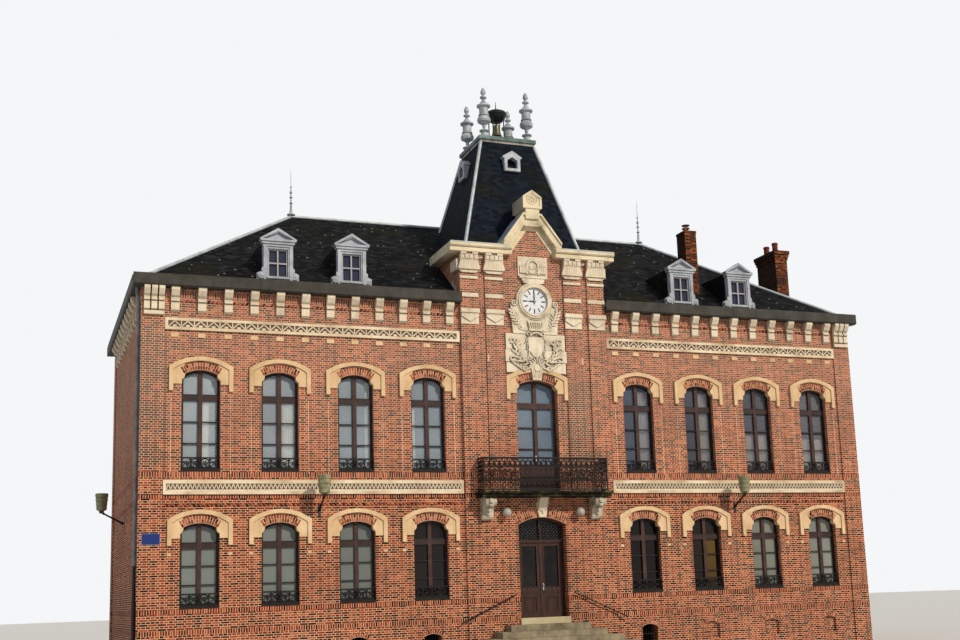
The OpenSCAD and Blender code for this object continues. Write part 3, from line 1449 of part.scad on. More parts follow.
// Rainwater pipes at the left and right ends of the front, with collared bends in from the eaves box
module downpipes() {
  low = [0, 0, wall_top - neck_h];
  high = [eaves_out / 2 - corner_proud - 65, 0, wall_top - 150];
  color("silver") on_front() both_sides() translate([half_w + corner_proud + 65, 200, 0]) {
    up(250) cylinder(r = pipe_r, h = low[2] - 250, $fn = 24);
    cylinder(r = 62, h = 2300, $fn = 24);
    cap_bar(low, high, pipe_r - 4);
    translate(high) cylinder(r = pipe_r, h = 150, $fn = 24);
    for (p = [low, high]) translate(p) sphere(r = pipe_r + 8);
    for (z = [2600, 5600, 8600, low[2] - 120]) translate([-65, -70, z]) cube([75, 140, 40]);
  }
}
// Iron bars in the open basement windows
module vent_grilles() {
  color("black") on_front() for (x = open_vents) translate([x, 0, vent_z]) intersection() {
    union() {
      for (i = [-2 : 2]) translate([i * 95, 120, 0]) cylinder(r = 9, h = vent_h, $fn = 16);
      translate([-vent_w / 2, 110, 220]) cube([vent_w, 20, 25]);
    }
    upright(100, 140) arched(vent_w, vent_h, vent_rise);
  }
}

foundation_slab();
front_walls();
door_piers();
pavilion_wall();
door_base_wall();
back_wall();
side_walls();
floors();
stone_bands();
window_hoods();
small_stones();
window_sills();
ground_window_frames();
first_window_frames();
window_glass();
window_guards();
cornice_brackets();
front_back_gutters();
side_gutters();
main_roof_front();
main_roof_back();
main_roof_ends();
zinc_caps();
roof_finials();
dormer_fronts();
dormer_roofs();
dormer_windows();
chimneys();
chimney_pots();
pavilion_cornice();
pilaster_stones();
clock_surround();
clock_dial();
hour_hand();
minute_hand();
pavilion_cheeks();
tower_base();
tower_roof_front_back();
tower_roof_sides();
tower_platform();
tower_dormers();
bell_canopy();
bell();
balcony_slab();
balcony_railing();
balcony_doors();
door_frame();
door_leaf_left();
door_leaf_right();
left_leaf_glass();
right_leaf_glass();
keystones();
entrance_steps();
threshold();
handrails();
door_lamps();
wall_lamps();
downpipes();
vent_grilles();
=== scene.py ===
# The looks of a brick town hall with stone dressings, slate roofs and a clock gable, made round its construction
# model. Metres, +Z up. The street front faces -Y, and its plane lies at front_y.
from math import asin, atan2, cos, hypot, pi, radians, sin, sqrt
import random
import bmesh
import bpy
from mathutils import Matrix, Vector


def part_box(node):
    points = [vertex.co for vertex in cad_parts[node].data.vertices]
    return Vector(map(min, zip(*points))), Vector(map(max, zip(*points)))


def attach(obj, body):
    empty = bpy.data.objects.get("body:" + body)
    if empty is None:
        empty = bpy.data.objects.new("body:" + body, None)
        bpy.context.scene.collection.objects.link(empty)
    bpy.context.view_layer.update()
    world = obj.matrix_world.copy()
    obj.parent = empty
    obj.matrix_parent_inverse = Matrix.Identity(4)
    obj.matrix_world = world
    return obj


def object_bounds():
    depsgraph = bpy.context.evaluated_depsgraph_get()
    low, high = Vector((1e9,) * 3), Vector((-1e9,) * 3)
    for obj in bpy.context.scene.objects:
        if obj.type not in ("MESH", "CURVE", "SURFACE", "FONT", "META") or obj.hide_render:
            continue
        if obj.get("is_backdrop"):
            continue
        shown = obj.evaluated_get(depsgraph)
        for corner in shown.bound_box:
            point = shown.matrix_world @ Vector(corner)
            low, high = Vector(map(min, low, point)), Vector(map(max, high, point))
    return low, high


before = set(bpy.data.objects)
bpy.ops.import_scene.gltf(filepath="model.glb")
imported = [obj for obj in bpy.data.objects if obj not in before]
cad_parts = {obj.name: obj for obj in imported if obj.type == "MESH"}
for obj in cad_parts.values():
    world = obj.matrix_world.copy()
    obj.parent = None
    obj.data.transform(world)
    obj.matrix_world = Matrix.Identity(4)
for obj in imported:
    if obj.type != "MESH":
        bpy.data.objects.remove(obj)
cad_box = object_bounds()

# The viewpoint: a hand camera on the street, 32 m in front of the left wing and 2.1 m up. It looks to the right and
# up, with a slight roll. The shift is what the picture's framing asks for.
picture_w = 960
picture_h = 640
focal_px = 1236.8
centre_x_px = 509.85
centre_y_px = 376.56
yaw = -0.381
pitch = 0.176
roll = -0.036
ahead = Vector((-sin(yaw) * cos(pitch), cos(yaw) * cos(pitch), sin(pitch)))
level = Vector((cos(yaw), sin(yaw), 0))
upward = level.cross(ahead)
right = level * cos(roll) + upward * sin(roll)
top = upward * cos(roll) - level * sin(roll)
lens = bpy.data.cameras.new("street_camera")
lens.sensor_width = 36
lens.lens = focal_px / picture_w * lens.sensor_width
lens.shift_x = (picture_w / 2 - centre_x_px) / picture_w
lens.shift_y = (centre_y_px - picture_h / 2) / picture_w
lens.clip_end = 400
camera = bpy.data.objects.new("street_camera", lens)
turn = Matrix((right, top, -ahead)).transposed().to_4x4()
camera.matrix_world = Matrix.Translation((-16.063, -43.245, 2.099)) @ turn
bpy.context.scene.collection.objects.link(camera)
bpy.context.scene.camera = camera
bpy.context.scene.view_settings.view_transform = "Standard"


# The light: a broad low sun from the right of the front, and an even pale sky that fills the shadows. Eyes and
# mirrors see the sky as a white backdrop.
def linear(code):
    """The linear colour that a shader takes, from an sRGB hex value."""
    shares = [int(code[i:i + 2], 16) / 255 for i in (1, 3, 5)]
    return [s / 12.92 if s <= 0.04045 else ((s + 0.055) / 1.055) ** 2.4 for s in shares] + [1.0]


def feed(node, links):
    """Gives a node's inputs, by name or number, a value, a hex colour or another node's output."""
    for name, value in links.items():
        if isinstance(value, bpy.types.NodeSocket):
            node.id_data.links.new(value, node.inputs[name])
        else:
            node.inputs[name].default_value = linear(value) if isinstance(value, str) else value


def add(tree, kind, links=(), out=None, stops=(), **settings):
    """Adds a node and gives its first output in use, or the one named out. kind may end in an operation or a data
    type. links feeds the inputs in use, in turn or by name, and stops fills a ramp, evenly or at given
    positions."""
    kind, _, work = kind.partition(" ")
    made = tree.nodes.new("ShaderNode" + kind)
    if work:
        settings["data_type" if kind == "Mix" else "operation"] = work
    for name, value in settings.items():
        setattr(made, name, value)
    if not isinstance(links, dict):
        links = dict(zip([i for i, socket in enumerate(made.inputs) if socket.enabled], links))
    feed(made, links)
    for i, stop in enumerate(stops):
        position, colour = (i / (len(stops) - 1), stop) if isinstance(stop, str) else stop
        step = made.color_ramp.elements[i] if i < 2 else made.color_ramp.elements.new(position)
        step.position = position
        step.color = linear(colour)
    return made.outputs[out] if out else next((socket for socket in made.outputs if socket.enabled), None)


sun = bpy.data.objects.new("sun", bpy.data.lights.new("sun", "SUN"))
sun.data.energy = 3.0
sun.data.angle = radians(4)
sun.data.color = linear("#fff3e2")[:3]
sun.rotation_euler = Vector((0.42, -0.8, 0.62)).to_track_quat("Z", "Y").to_euler()
bpy.context.scene.collection.objects.link(sun)
sky = bpy.data.worlds.new("sky")
sky.use_nodes = True
bpy.context.scene.world = sky
tree = sky.node_tree
tree.nodes.clear()
ray = add(tree, "LightPath").node.outputs
seen = add(tree, "Math MAXIMUM", [ray["Is Camera Ray"], ray["Is Glossy Ray"]])
seen = add(tree, "Math MAXIMUM", [seen, ray["Is Transmission Ray"]])
fill = add(tree, "Background", {"Color": "#dfe8f4", "Strength": 0.5})
backdrop = add(tree, "Background", {"Color": "#f4f6f8", "Strength": 1.0})
both = add(tree, "MixShader", [seen, fill, backdrop])
add(tree, "OutputWorld", {"Surface": both})


# The studio floor: a wide disc of one even pale tone at street level, which carries the shadow of the building. It
# isn't part of the building.
def surface(name):
    """A new material with its tree, its shader and the piece's Object coordinates."""
    material = bpy.data.materials.new(name)
    material.use_nodes = True
    tree = material.node_tree
    return material, tree, tree.nodes["Principled BSDF"], add(tree, "TexCoord", out="Object")


def coat(shader, colour, rough, shine=0.5, relief=None, strength=0.5, depth=0.0, others=None):
    """Gives a shader its colour, how rough and how shiny it is, a relief of some depth in metres, and other
    inputs."""
    feed(shader, {"Base Color": colour, "Roughness": rough, "Specular IOR Level": shine, **(others or {})})
    if relief:
        bump = add(shader.id_data, "Bump", {"Height": relief, "Strength": strength, "Distance": depth})
        feed(shader, {"Normal": bump})


floor_paint, tree, shader, place = surface("pale_studio_floor")
coat(shader, "#cfcdc8", 0.9)
disc = bmesh.new()
bmesh.ops.create_circle(disc, cap_ends=True, radius=260, segments=96, matrix=Matrix.Translation((0, 0, -0.002)))
floor_mesh = bpy.data.meshes.new("studio_floor")
disc.to_mesh(floor_mesh)
disc.free()
floor_mesh.materials.append(floor_paint)
studio_floor = bpy.data.objects.new("studio_floor", floor_mesh)
bpy.context.scene.collection.objects.link(studio_floor)
studio_floor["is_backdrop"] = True

# The walls: pressed red bricks in cross bond, a row of stretchers and a row of headers in turn, with wide joints of
# pale lime mortar. Each brick came out of the kiln in its own red, and some are burnt nearly black. Soldier courses
# of upright bricks run under the sills and under the eaves.
front_y = -5.47
half_w = 12.77
half_d = 5.47
wall_t = 0.40
attic_z = 11.44
course_h = 0.07
stretcher = 0.26
joint = 0.016
soldier_w = 0.075
soldier_rows = [(1.40, 0.07), (2.00, 0.065), (5.365, 0.055), (6.03, 0.08), (11.54, 0.09)]
brick_reds = ["#190a07", "#511c0e", "#7b2d15", "#903b1e", "#a34a2a", "#b96c49"]
lime_mortar = "#eabf9b"
first_bay = 3.825
bay_pitch = 2.4
pier_half = 0.885
soot_edge_x = -12.07


def dress(material, *names):
    """Gives CAD nodes a material."""
    for name in names:
        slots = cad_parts[name].data.materials
        for i in range(len(slots)):
            slots[i] = material


def wall_plane(tree, place, flat_from=0.75):
    """Coordinates along a wall and up it, chosen by the way that the face looks."""
    way = add(tree, "VectorMath ABSOLUTE", [add(tree, "NewGeometry", out="True Normal")])
    way = add(tree, "SeparateXYZ", [way]).node.outputs
    spot = add(tree, "SeparateXYZ", [place]).node.outputs
    end_wall = add(tree, "Math GREATER_THAN", [way["X"], way["Y"]])
    flat = add(tree, "Math GREATER_THAN", [way["Z"], flat_from])
    along = add(tree, "Mix", [end_wall, spot["X"], spot["Y"]])
    up = add(tree, "Mix", [flat, spot["Z"], spot["Y"]])
    return add(tree, "CombineXYZ", {"X": along, "Y": up})


def near_spots(tree, place, spots):
    """A ragged share from 0 to 1 that is highest at the given spots, each a place and how far it reaches."""
    most = 0.0
    for spot, reach in spots:
        away = add(tree, "VectorMath DISTANCE", [place, spot])
        near = add(tree, "MapRange", {"Value": away, "From Min": reach, "From Max": 0.55 * reach})
        most = add(tree, "Math MAXIMUM", [near, most])
    ragged = add(tree, "TexNoise", {"Vector": place, "Scale": 7.0, "Detail": 4.0})
    ragged = add(tree, "MapRange", {"Value": ragged, "From Min": 0.36, "From Max": 0.50})
    return add(tree, "Math MULTIPLY", [most, ragged])


def only_where(tree, share, value, middle, half):
    """Keeps a share only where a value lies within half of the middle."""
    near = add(tree, "Math COMPARE", [value, middle, half])
    return add(tree, "Math MULTIPLY", [share, near])


def brickwork(name, tones, mortar, soot_and_shade, soot_share, burnt=(), facade=True):
    """Bricks in cross bond, as a material. tones run from the darkest brick to the palest. soot_and_shade is the
    tone of soot, and of the painted shade on a chimney's sides. burnt lists places where the bricks are fired
    nearly black. facade adds the straight joints beside the windows and the plaster inside; without it the sides
    that look along X get painted shade."""
    material, tree, shader, place = surface(name)
    plane = wall_plane(tree, place)
    wander = add(tree, "TexNoise", {"Vector": place, "Scale": 9.0, "Detail": 1.0}, "Color")
    wander = add(tree, "VectorMath SUBTRACT", [wander, (0.5, 0.5, 0.5)])
    wander = add(tree, "VectorMath SCALE", [wander, 0.009])
    plane = add(tree, "VectorMath ADD", [plane, wander])
    black_to_white = {"Vector": plane, "Color1": "#000000", "Color2": "#ffffff", "Mortar": "#808080",
        "Scale": 1.0, "Mortar Size": joint / 2, "Mortar Smooth": 0.1}
    bond = add(tree, "TexBrick", {**black_to_white, "Brick Width": stretcher, "Row Height": course_h},
        offset=0.5, offset_frequency=2, squash=0.5, squash_frequency=2).node.outputs
    upright = add(tree, "TexBrick", {**black_to_white, "Brick Width": soldier_w, "Row Height": 10.0},
        offset=0.0).node.outputs
    height = add(tree, "SeparateXYZ", [place], "Z")
    soldiers = 0.0
    for middle, half in soldier_rows:
        row = add(tree, "Math COMPARE", [height, middle, half])
        soldiers = add(tree, "Math MAXIMUM", [row, soldiers])
    tone = add(tree, "Mix RGBA", [soldiers, bond["Color"], upright["Color"]])
    pointing = add(tree, "Mix", [soldiers, bond["Fac"], upright["Fac"]])
    brick = add(tree, "ValToRGB", {"Fac": tone}, stops=tones)
    grain = add(tree, "TexNoise", {"Vector": place, "Scale": 60.0, "Detail": 3.0})
    grain = add(tree, "MapRange", {"Value": grain, "To Min": 0.78, "To Max": 1.18})
    # The bricks of the ground floor are a little darker than those above.
    low = add(tree, "MapRange", {"Value": height, "From Min": 3.0, "From Max": 6.0, "To Min": 0.84})
    shade = add(tree, "Math MULTIPLY", [grain, low])
    brick = add(tree, "VectorMath SCALE", [brick, shade])
    if burnt:
        patch = add(tree, "Math MULTIPLY", [near_spots(tree, place, burnt), 0.85])
        brick = add(tree, "Mix RGBA", [patch, brick, "#3d2f29"])
    size = add(tree, "VectorMath ABSOLUTE", [place])
    size = add(tree, "SeparateXYZ", [size]).node.outputs
    if facade:
        # A straight pale joint runs beside each first-floor window, where the pier of cut bricks ends.
        off = add(tree, "Math SUBTRACT", [size["X"], first_bay])
        off = add(tree, "Math PINGPONG", [off, bay_pitch / 2])
        pier = add(tree, "Math COMPARE", [off, pier_half, 0.008])
        pier = only_where(tree, pier, height, 7.2, 1.15)
        pier = only_where(tree, pier, size["X"], 7.45, 4.75)
        pointing = add(tree, "Math MAXIMUM", [pointing, pier])
        # Beside the left corner strip the toothed edge of the field is black with soot.
        jag = add(tree, "MapRange", {"Value": grain, "From Min": 0.78, "From Max": 1.18, "To Min": -0.05,
            "To Max": 0.05})
        edge = add(tree, "SeparateXYZ", [place], "X")
        edge = add(tree, "Math ADD", [edge, jag])
        edge = add(tree, "Math COMPARE", [edge, soot_edge_x, 0.028])
        edge = only_where(tree, edge, height, 8.05, 2.2)
        edge = add(tree, "Math MULTIPLY", [edge, 0.8])
        brick = add(tree, "Mix RGBA", [edge, brick, soot_and_shade])
    wall = add(tree, "Mix RGBA", [pointing, brick, mortar])
    # Kiln batches and soot: whole stretches of wall are a little darker, and the upper storey is dusty.
    broad = add(tree, "TexNoise", {"Vector": place, "Scale": 0.55, "Detail": 5.0, "Roughness": 0.6})
    dark = add(tree, "MapRange", {"Value": broad, "From Min": 0.4, "From Max": 0.78, "To Max": soot_share})
    wall = add(tree, "Mix RGBA", [dark, wall, soot_and_shade])
    if facade:
        dusty = add(tree, "MapRange", {"Value": height, "From Min": 5.0, "From Max": 9.5, "To Max": 0.18})
        wall = add(tree, "Mix RGBA", [dusty, wall, "#c3a492"])
        inside = add(tree, "Math LESS_THAN", [size["X"], half_w - wall_t + 0.01])
        for value, limit in ((size["Y"], half_d - wall_t + 0.01), (size["Z"], attic_z)):
            within = add(tree, "Math LESS_THAN", [value, limit])
            inside = add(tree, "Math MULTIPLY", [inside, within])
        wall = add(tree, "Mix RGBA", [inside, wall, "#8f8577"])
    else:
        # Chimneys get painted shade on the sides that look along the ridge, which are painted darkest.
        way = add(tree, "SeparateXYZ", [add(tree, "NewGeometry", out="True Normal")], "X")
        side_shade = add(tree, "Math ABSOLUTE", [way])
        side_shade = add(tree, "Math MULTIPLY", [side_shade, 0.82])
        wall = add(tree, "Mix RGBA", [side_shade, wall, soot_and_shade])
    relief = add(tree, "Math SUBTRACT", [grain, pointing])
    coat(shader, wall, 0.88, 0.12, relief=relief, strength=0.8, depth=0.008)
    return material


# Stretches of bricks that were fired too hard: at the left corner strip and beside the balcony door
burnt_spots = [((-12.6, front_y, 8.9), 0.9), ((-12.6, front_y, 7.7), 0.9), ((-12.6, front_y, 6.7), 0.6),
    ((-12.6, front_y, 10.0), 0.8), ((1.55, front_y, 8.7), 0.75), ((1.5, front_y, 7.6), 0.8),
    ((1.5, front_y, 6.4), 0.8), ((8.3, front_y, 5.05), 0.9)]
facing_brick = brickwork("red_facing_brick", brick_reds, lime_mortar, "#3c1f14", 0.4, burnt_spots)
dress(facing_brick, "front_walls", "back_wall", "side_walls", "door_piers", "door_base_wall", "pavilion_wall")
dress(facing_brick, "pavilion_cheeks")


# The brick strings: rows of header bricks that stand out one by one, below the first-floor band and between the
# eaves brackets. Single bricks carry their own tone.
wing_start = 2.69
wing_end = 12.12
strings = [(5.13, wing_start, wing_end), (11.34, wing_start, wing_end)]
header_w = 0.065
header_pitch = 0.13
header_out = 0.045


def keep(shape, name, material, body="building"):
    """Makes a piece of the object from a bmesh. One whose name ends in back is turned round to the back wall."""
    if name.endswith("_back"):
        bmesh.ops.rotate(shape, verts=shape.verts, cent=(0, 0, 0), matrix=Matrix.Rotation(pi, 3, "Z"))
    bmesh.ops.recalc_face_normals(shape, faces=shape.faces)
    mesh = bpy.data.meshes.new(name)
    shape.to_mesh(mesh)
    shape.free()
    mesh.materials.append(material)
    piece = bpy.data.objects.new(name, mesh)
    bpy.context.scene.collection.objects.link(piece)
    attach(piece, body)
    return piece


def at(spot, lean=0.0):
    """A place on the street front: x, the distance before the wall's face, z, and how far it leans in that
    plane."""
    return Matrix.Translation((spot[0], front_y - spot[1], spot[2])) @ Matrix.Rotation(lean, 4, "Y")


def block(shape, middle, size, lean=0.0):
    """Adds a box of some width, depth and height."""
    return bmesh.ops.create_cube(shape, size=1, matrix=at(middle, lean) @ Matrix.Diagonal((*size, 1)))["verts"]


def lay(shape, tone, draw, middle, size, lean=0.0):
    """Adds one brick and gives it a tone of its own."""
    value = draw.random()
    for face in {face for vert in block(shape, middle, size, lean) for face in vert.link_faces}:
        face[tone] = value


def toned(name, tones, rough, grit):
    """A material for pieces that carry their own tone in the attribute named tone."""
    material, tree, shader, place = surface(name)
    own = add(tree, "Attribute", out="Fac", attribute_name="tone")
    colour = add(tree, "ValToRGB", {"Fac": own}, stops=tones)
    grain = add(tree, "TexNoise", {"Vector": place, "Scale": 60.0, "Detail": 3.0})
    share = add(tree, "MapRange", {"Value": grain, "To Min": 0.75, "To Max": 1.2})
    colour = add(tree, "VectorMath SCALE", [colour, share])
    coat(shader, colour, rough, 0.15, relief=grain, depth=grit)
    return material


single_brick = toned("single_red_brick", ["#3a150c", "#6b2a18", "#873f28", "#9a5037", "#ab6449", "#bd7f62"],
    0.86, 0.004)
for side in ("front", "back"):
    shape = bmesh.new()
    tone = shape.faces.layers.float.new("tone")
    draw = random.Random(11)
    for z, start, end in strings:
        if side == "back":
            start = header_pitch / 2
        for i in range(int((end - start) / header_pitch)):
            for s in (-1, 1):
                lay(shape, tone, draw, (s * (start + (i + 0.5) * header_pitch), header_out / 2, z),
                    (header_w, header_out, course_h - joint))
    keep(shape, f"brick_strings_{side}", single_brick)

# The arches: the bricks stand on end and lean to the arch's centre, in two rings over the windows, three over the
# entrance and one over the basement openings. The joints widen outwards and are full of mortar.
bays = [s * (first_bay + bay_pitch * i) for i in range(4) for s in (-1, 1)]
window_w = 1.15
window_rise = 0.19
crowns = [4.58, 9.22]
pavilion_proud = 0.06
arch_pitch = 0.0725
arch_ring = 0.11
arch_brick_out = 0.008
springer_out = 0.045


def brick_arch(shape, tone, draw, backing, spot, width, rise, rings, over=(0.0, 0.0)):
    """Lays the bricks of an arch whose opening has its crown at spot, and the mortar behind them. over gives the
    distances from the middle between which the bricks lie on the upper corners of the springer stones."""
    x, out, crown = spot
    radius = (width * width / 4 + rise * rise) / (2 * rise)
    reach = asin(width / 2 / radius)
    count = round(2 * reach * radius / arch_pitch)
    for ring in range(rings):
        middle = radius + 0.008 + (ring + 0.5) * arch_ring
        for i in range(count):
            lean = ((i + 0.5) / count * 2 - 1) * reach
            off = middle * sin(lean)
            raised = springer_out - 0.005 if over[0] < abs(off) < over[1] - 0.045 * (1 - ring) else 0.0
            spot = (x + off, out + raised + arch_brick_out - 0.02, crown - radius + middle * cos(lean))
            lay(shape, tone, draw, spot, (arch_pitch - 0.014, 0.04, arch_ring - 0.01), lean)
    centre = Vector((x, front_y - out, crown - radius))
    depth = 0.03
    up = radius + rings * arch_ring / 2
    start = Matrix.Rotation(-reach, 4, "Y") @ Matrix.Translation((0, depth / 2 - 0.003, up))
    slice_size = Matrix.Diagonal((1, depth, rings * arch_ring, 1))
    face = bmesh.ops.create_grid(backing, x_segments=1, y_segments=1, size=0.5,
        matrix=Matrix.Translation(centre) @ start @ slice_size @ Matrix.Rotation(pi / 2, 4, "Y"))["verts"]
    ring_start = list({f for v in face for f in v.link_faces})
    bmesh.ops.spin(backing, geom=ring_start, cent=centre, axis=(0, 1, 0), angle=2 * reach, steps=14)


def stained(name, tones, noise, rough, shine=0.5, depth=0.0, above=None, limit=0.0, others=None):
    """A material whose tones run over broad stains. Higher up than limit it takes the tones of above."""
    material, tree, shader, place = surface(name)
    stain = add(tree, "TexNoise", {"Vector": place, **noise})
    colour = add(tree, "ValToRGB", {"Fac": stain}, stops=tones)
    if above:
        over = add(tree, "Math GREATER_THAN", [add(tree, "SeparateXYZ", [place], "Z"), limit])
        colour = add(tree, "Mix RGBA", [over, colour, add(tree, "ValToRGB", {"Fac": stain}, stops=above)])
    coat(shader, colour, rough, shine, relief=stain if depth else None, depth=depth, others=others)
    return material


mortar_fill = stained("lime_mortar", [(0.3, "#b8957a"), (0.7, "#e2bd98")], {"Scale": 70.0, "Detail": 3.0},
    0.9, 0.15)
for side, xs in (("front", bays), ("back", bays + [0.0])):
    shape = bmesh.new()
    tone = shape.faces.layers.float.new("tone")
    backing = bmesh.new()
    draw = random.Random(5)
    for x in xs:
        for crown in crowns:
            brick_arch(shape, tone, draw, backing, (x, 0.0, crown), window_w, window_rise, 2, over=(0.49, 0.61))
    if side == "front":
        brick_arch(shape, tone, draw, backing, (0.0, pavilion_proud, 9.22), 1.48, 0.21, 2, over=(0.655, 0.77))
        brick_arch(shape, tone, draw, backing, (0.0, pavilion_proud, 4.64), 1.70, 0.23, 3)
        for x in bays:
            brick_arch(shape, tone, draw, backing, (x, 0.0, 1.04), 0.58, 0.09, 1)
    keep(shape, f"arch_bricks_{side}", single_brick)
    keep(backing, f"arch_mortar_{side}", mortar_fill)


# The basement slab and the floors: the slab is cast concrete on the ground, and the floors are pine boards nailed
# to their joists. They are seen through the panes at most.
def weathered(name, tones, scale, rough, grit=0.002, metal=0.0, streaks=0.0, shine=0.25, dirt_and_shade=0.0):
    """A mottled material: broad stains and fine grain between the given tones, from dark to pale. streaks is the
    share of dark runs that rain leaves down a face, and dirt_and_shade how dark its hollows are, as dirt and as
    painted shade."""
    material, tree, shader, place = surface(name)
    stain = add(tree, "TexNoise", {"Vector": place, "Scale": scale, "Detail": 6.0, "Roughness": 0.62})
    # The real grain is finer than a pixel of the picture, so it is drawn as coarse as it needs to show.
    grain = add(tree, "TexNoise", {"Vector": place, "Scale": scale * 28, "Detail": 2.0})
    mixed = add(tree, "Mix", [0.3, stain, grain])
    mixed = add(tree, "MapRange", {"Value": mixed, "From Min": 0.3, "From Max": 0.7})
    colour = add(tree, "ValToRGB", {"Fac": mixed}, stops=tones)
    if streaks:
        runs = add(tree, "Mapping", {"Vector": place, "Scale": (7.0, 7.0, 0.7)})
        runs = add(tree, "TexNoise", {"Vector": runs, "Scale": 1.0, "Detail": 3.0})
        runs = add(tree, "MapRange", {"Value": runs, "From Min": 0.5, "From Max": 0.72, "To Max": streaks})
        colour = add(tree, "Mix RGBA", [runs, colour, tones[0]])
    if dirt_and_shade:
        # The hollows are darkened by occlusion: dirt that lies there, and painted shade.
        open_sky = add(tree, "AmbientOcclusion", {"Distance": 0.09}, "AO", samples=6)
        hollow_dirt_and_shade = add(tree, "MapRange", {"Value": open_sky, "From Min": 0.85, "From Max": 0.35, "To Max": dirt_and_shade})
        colour = add(tree, "Mix RGBA", [hollow_dirt_and_shade, colour, "#4d4030"])
    coat(shader, colour, rough, shine, relief=mixed, depth=grit, others={"Metallic": metal})
    return material


dress(weathered("cast_concrete", ["#6d6b66", "#8f8c85"], 1.5, 0.9), "foundation_slab")
dress(weathered("pine_boards", ["#6f4f33", "#94704a"], 2.0, 0.6), "floors")

# The dressings round the openings: blocks of warm yellow limestone, sawn smooth and set nearly flush with the
# bricks, with thin joints. The hoods over the windows stand out and throw the rain off.
# Its hollows are darkened with dirt and painted shade.
yellow_stone = weathered("warm_yellow_limestone", ["#a1835e", "#cfae84", "#dcbd95", "#e9d1ab"], 1.1, 0.82,
    0.003, streaks=0.25, shine=0.15, dirt_and_shade=0.35)
dress(yellow_stone, "window_hoods", "small_stones")

# The crust over each hood: soot and lichen that have grown into black crumbs in the joint between the stone and the
# arch bricks, where the rain doesn't reach them.
hood_half = 0.955
hood_rise = 0.30
hood_above = 0.40
arc_r = (hood_half ** 2 + hood_rise ** 2) / (2 * hood_rise)
arc_reach = asin(hood_half / arc_r)


def boss(shape, middle, size, lean=0.0, rounds=1):
    """Adds a crumb, a knob or a leaf: a round swelling with its own width, depth and height."""
    return bmesh.ops.create_icosphere(shape, subdivisions=rounds, radius=1,
        matrix=at(middle, lean) @ Matrix.Diagonal((*size, 1)))["verts"]


crust = weathered("black_lichen_crust", ["#16130f", "#2e2a22", "#4a4636"], 9.0, 0.95, 0.004, shine=0.1)
for side in ("front", "back"):
    shape = bmesh.new()
    draw = random.Random(23)
    for x in bays:
        for crown in crowns:
            for i in range(30 if crown > 5 else 14):
                lean = draw.uniform(-arc_reach, arc_reach)
                grown = draw.uniform(0.007, 0.022)
                reach = arc_r + grown * 0.4
                spot = (x + reach * sin(lean), draw.uniform(0.02, 0.075),
                    crown + hood_above - arc_r + reach * cos(lean))
                boss(shape, spot, (1.7 * grown, grown, grown), lean)
    keep(shape, f"hood_crust_{side}", crust)

# The other stonework: paler limestone of the brackets, capitals and cornice, cut with a chisel and bedded in lime.
# It has gone grey where the rain runs, and its hollows are nearly black with dirt and painted shade.
limestone = weathered("grey_limestone", ["#958a76", "#d1c2a9", "#e2d4ba", "#efe5ce"], 1.1, 0.82, 0.003,
    streaks=0.3, shine=0.15, dirt_and_shade=0.55)
dress(limestone, "cornice_brackets", "pilaster_stones", "keystones")

# The stone courses: long blocks with a sunk field between two borders. In the lower one a zigzag rib runs along the
# field, and in the upper one tent-shaped ribs with an upright between them. The field's ground is painted darker
# than the borders.
band_field_out = 0.035
band_out = 0.060
block_l = 0.95
block_joint = 0.004
band_stone, tree, shader, place = surface("carved_band_stone")
stain = add(tree, "TexNoise", {"Vector": place, "Scale": 1.3, "Detail": 6.0})
colour = add(tree, "ValToRGB", {"Fac": stain}, stops=[(0.3, "#b39c7e"), (0.5, "#d8c4a4"), (0.7, "#e9dac0")])
plane = wall_plane(tree, place)
blocks = add(tree, "TexBrick", {"Vector": plane, "Scale": 1.0, "Mortar Size": block_joint,
    "Brick Width": block_l, "Row Height": 20.0}, "Fac", offset=0.0)
colour = add(tree, "Mix RGBA", [blocks, colour, "#8d7a60"])
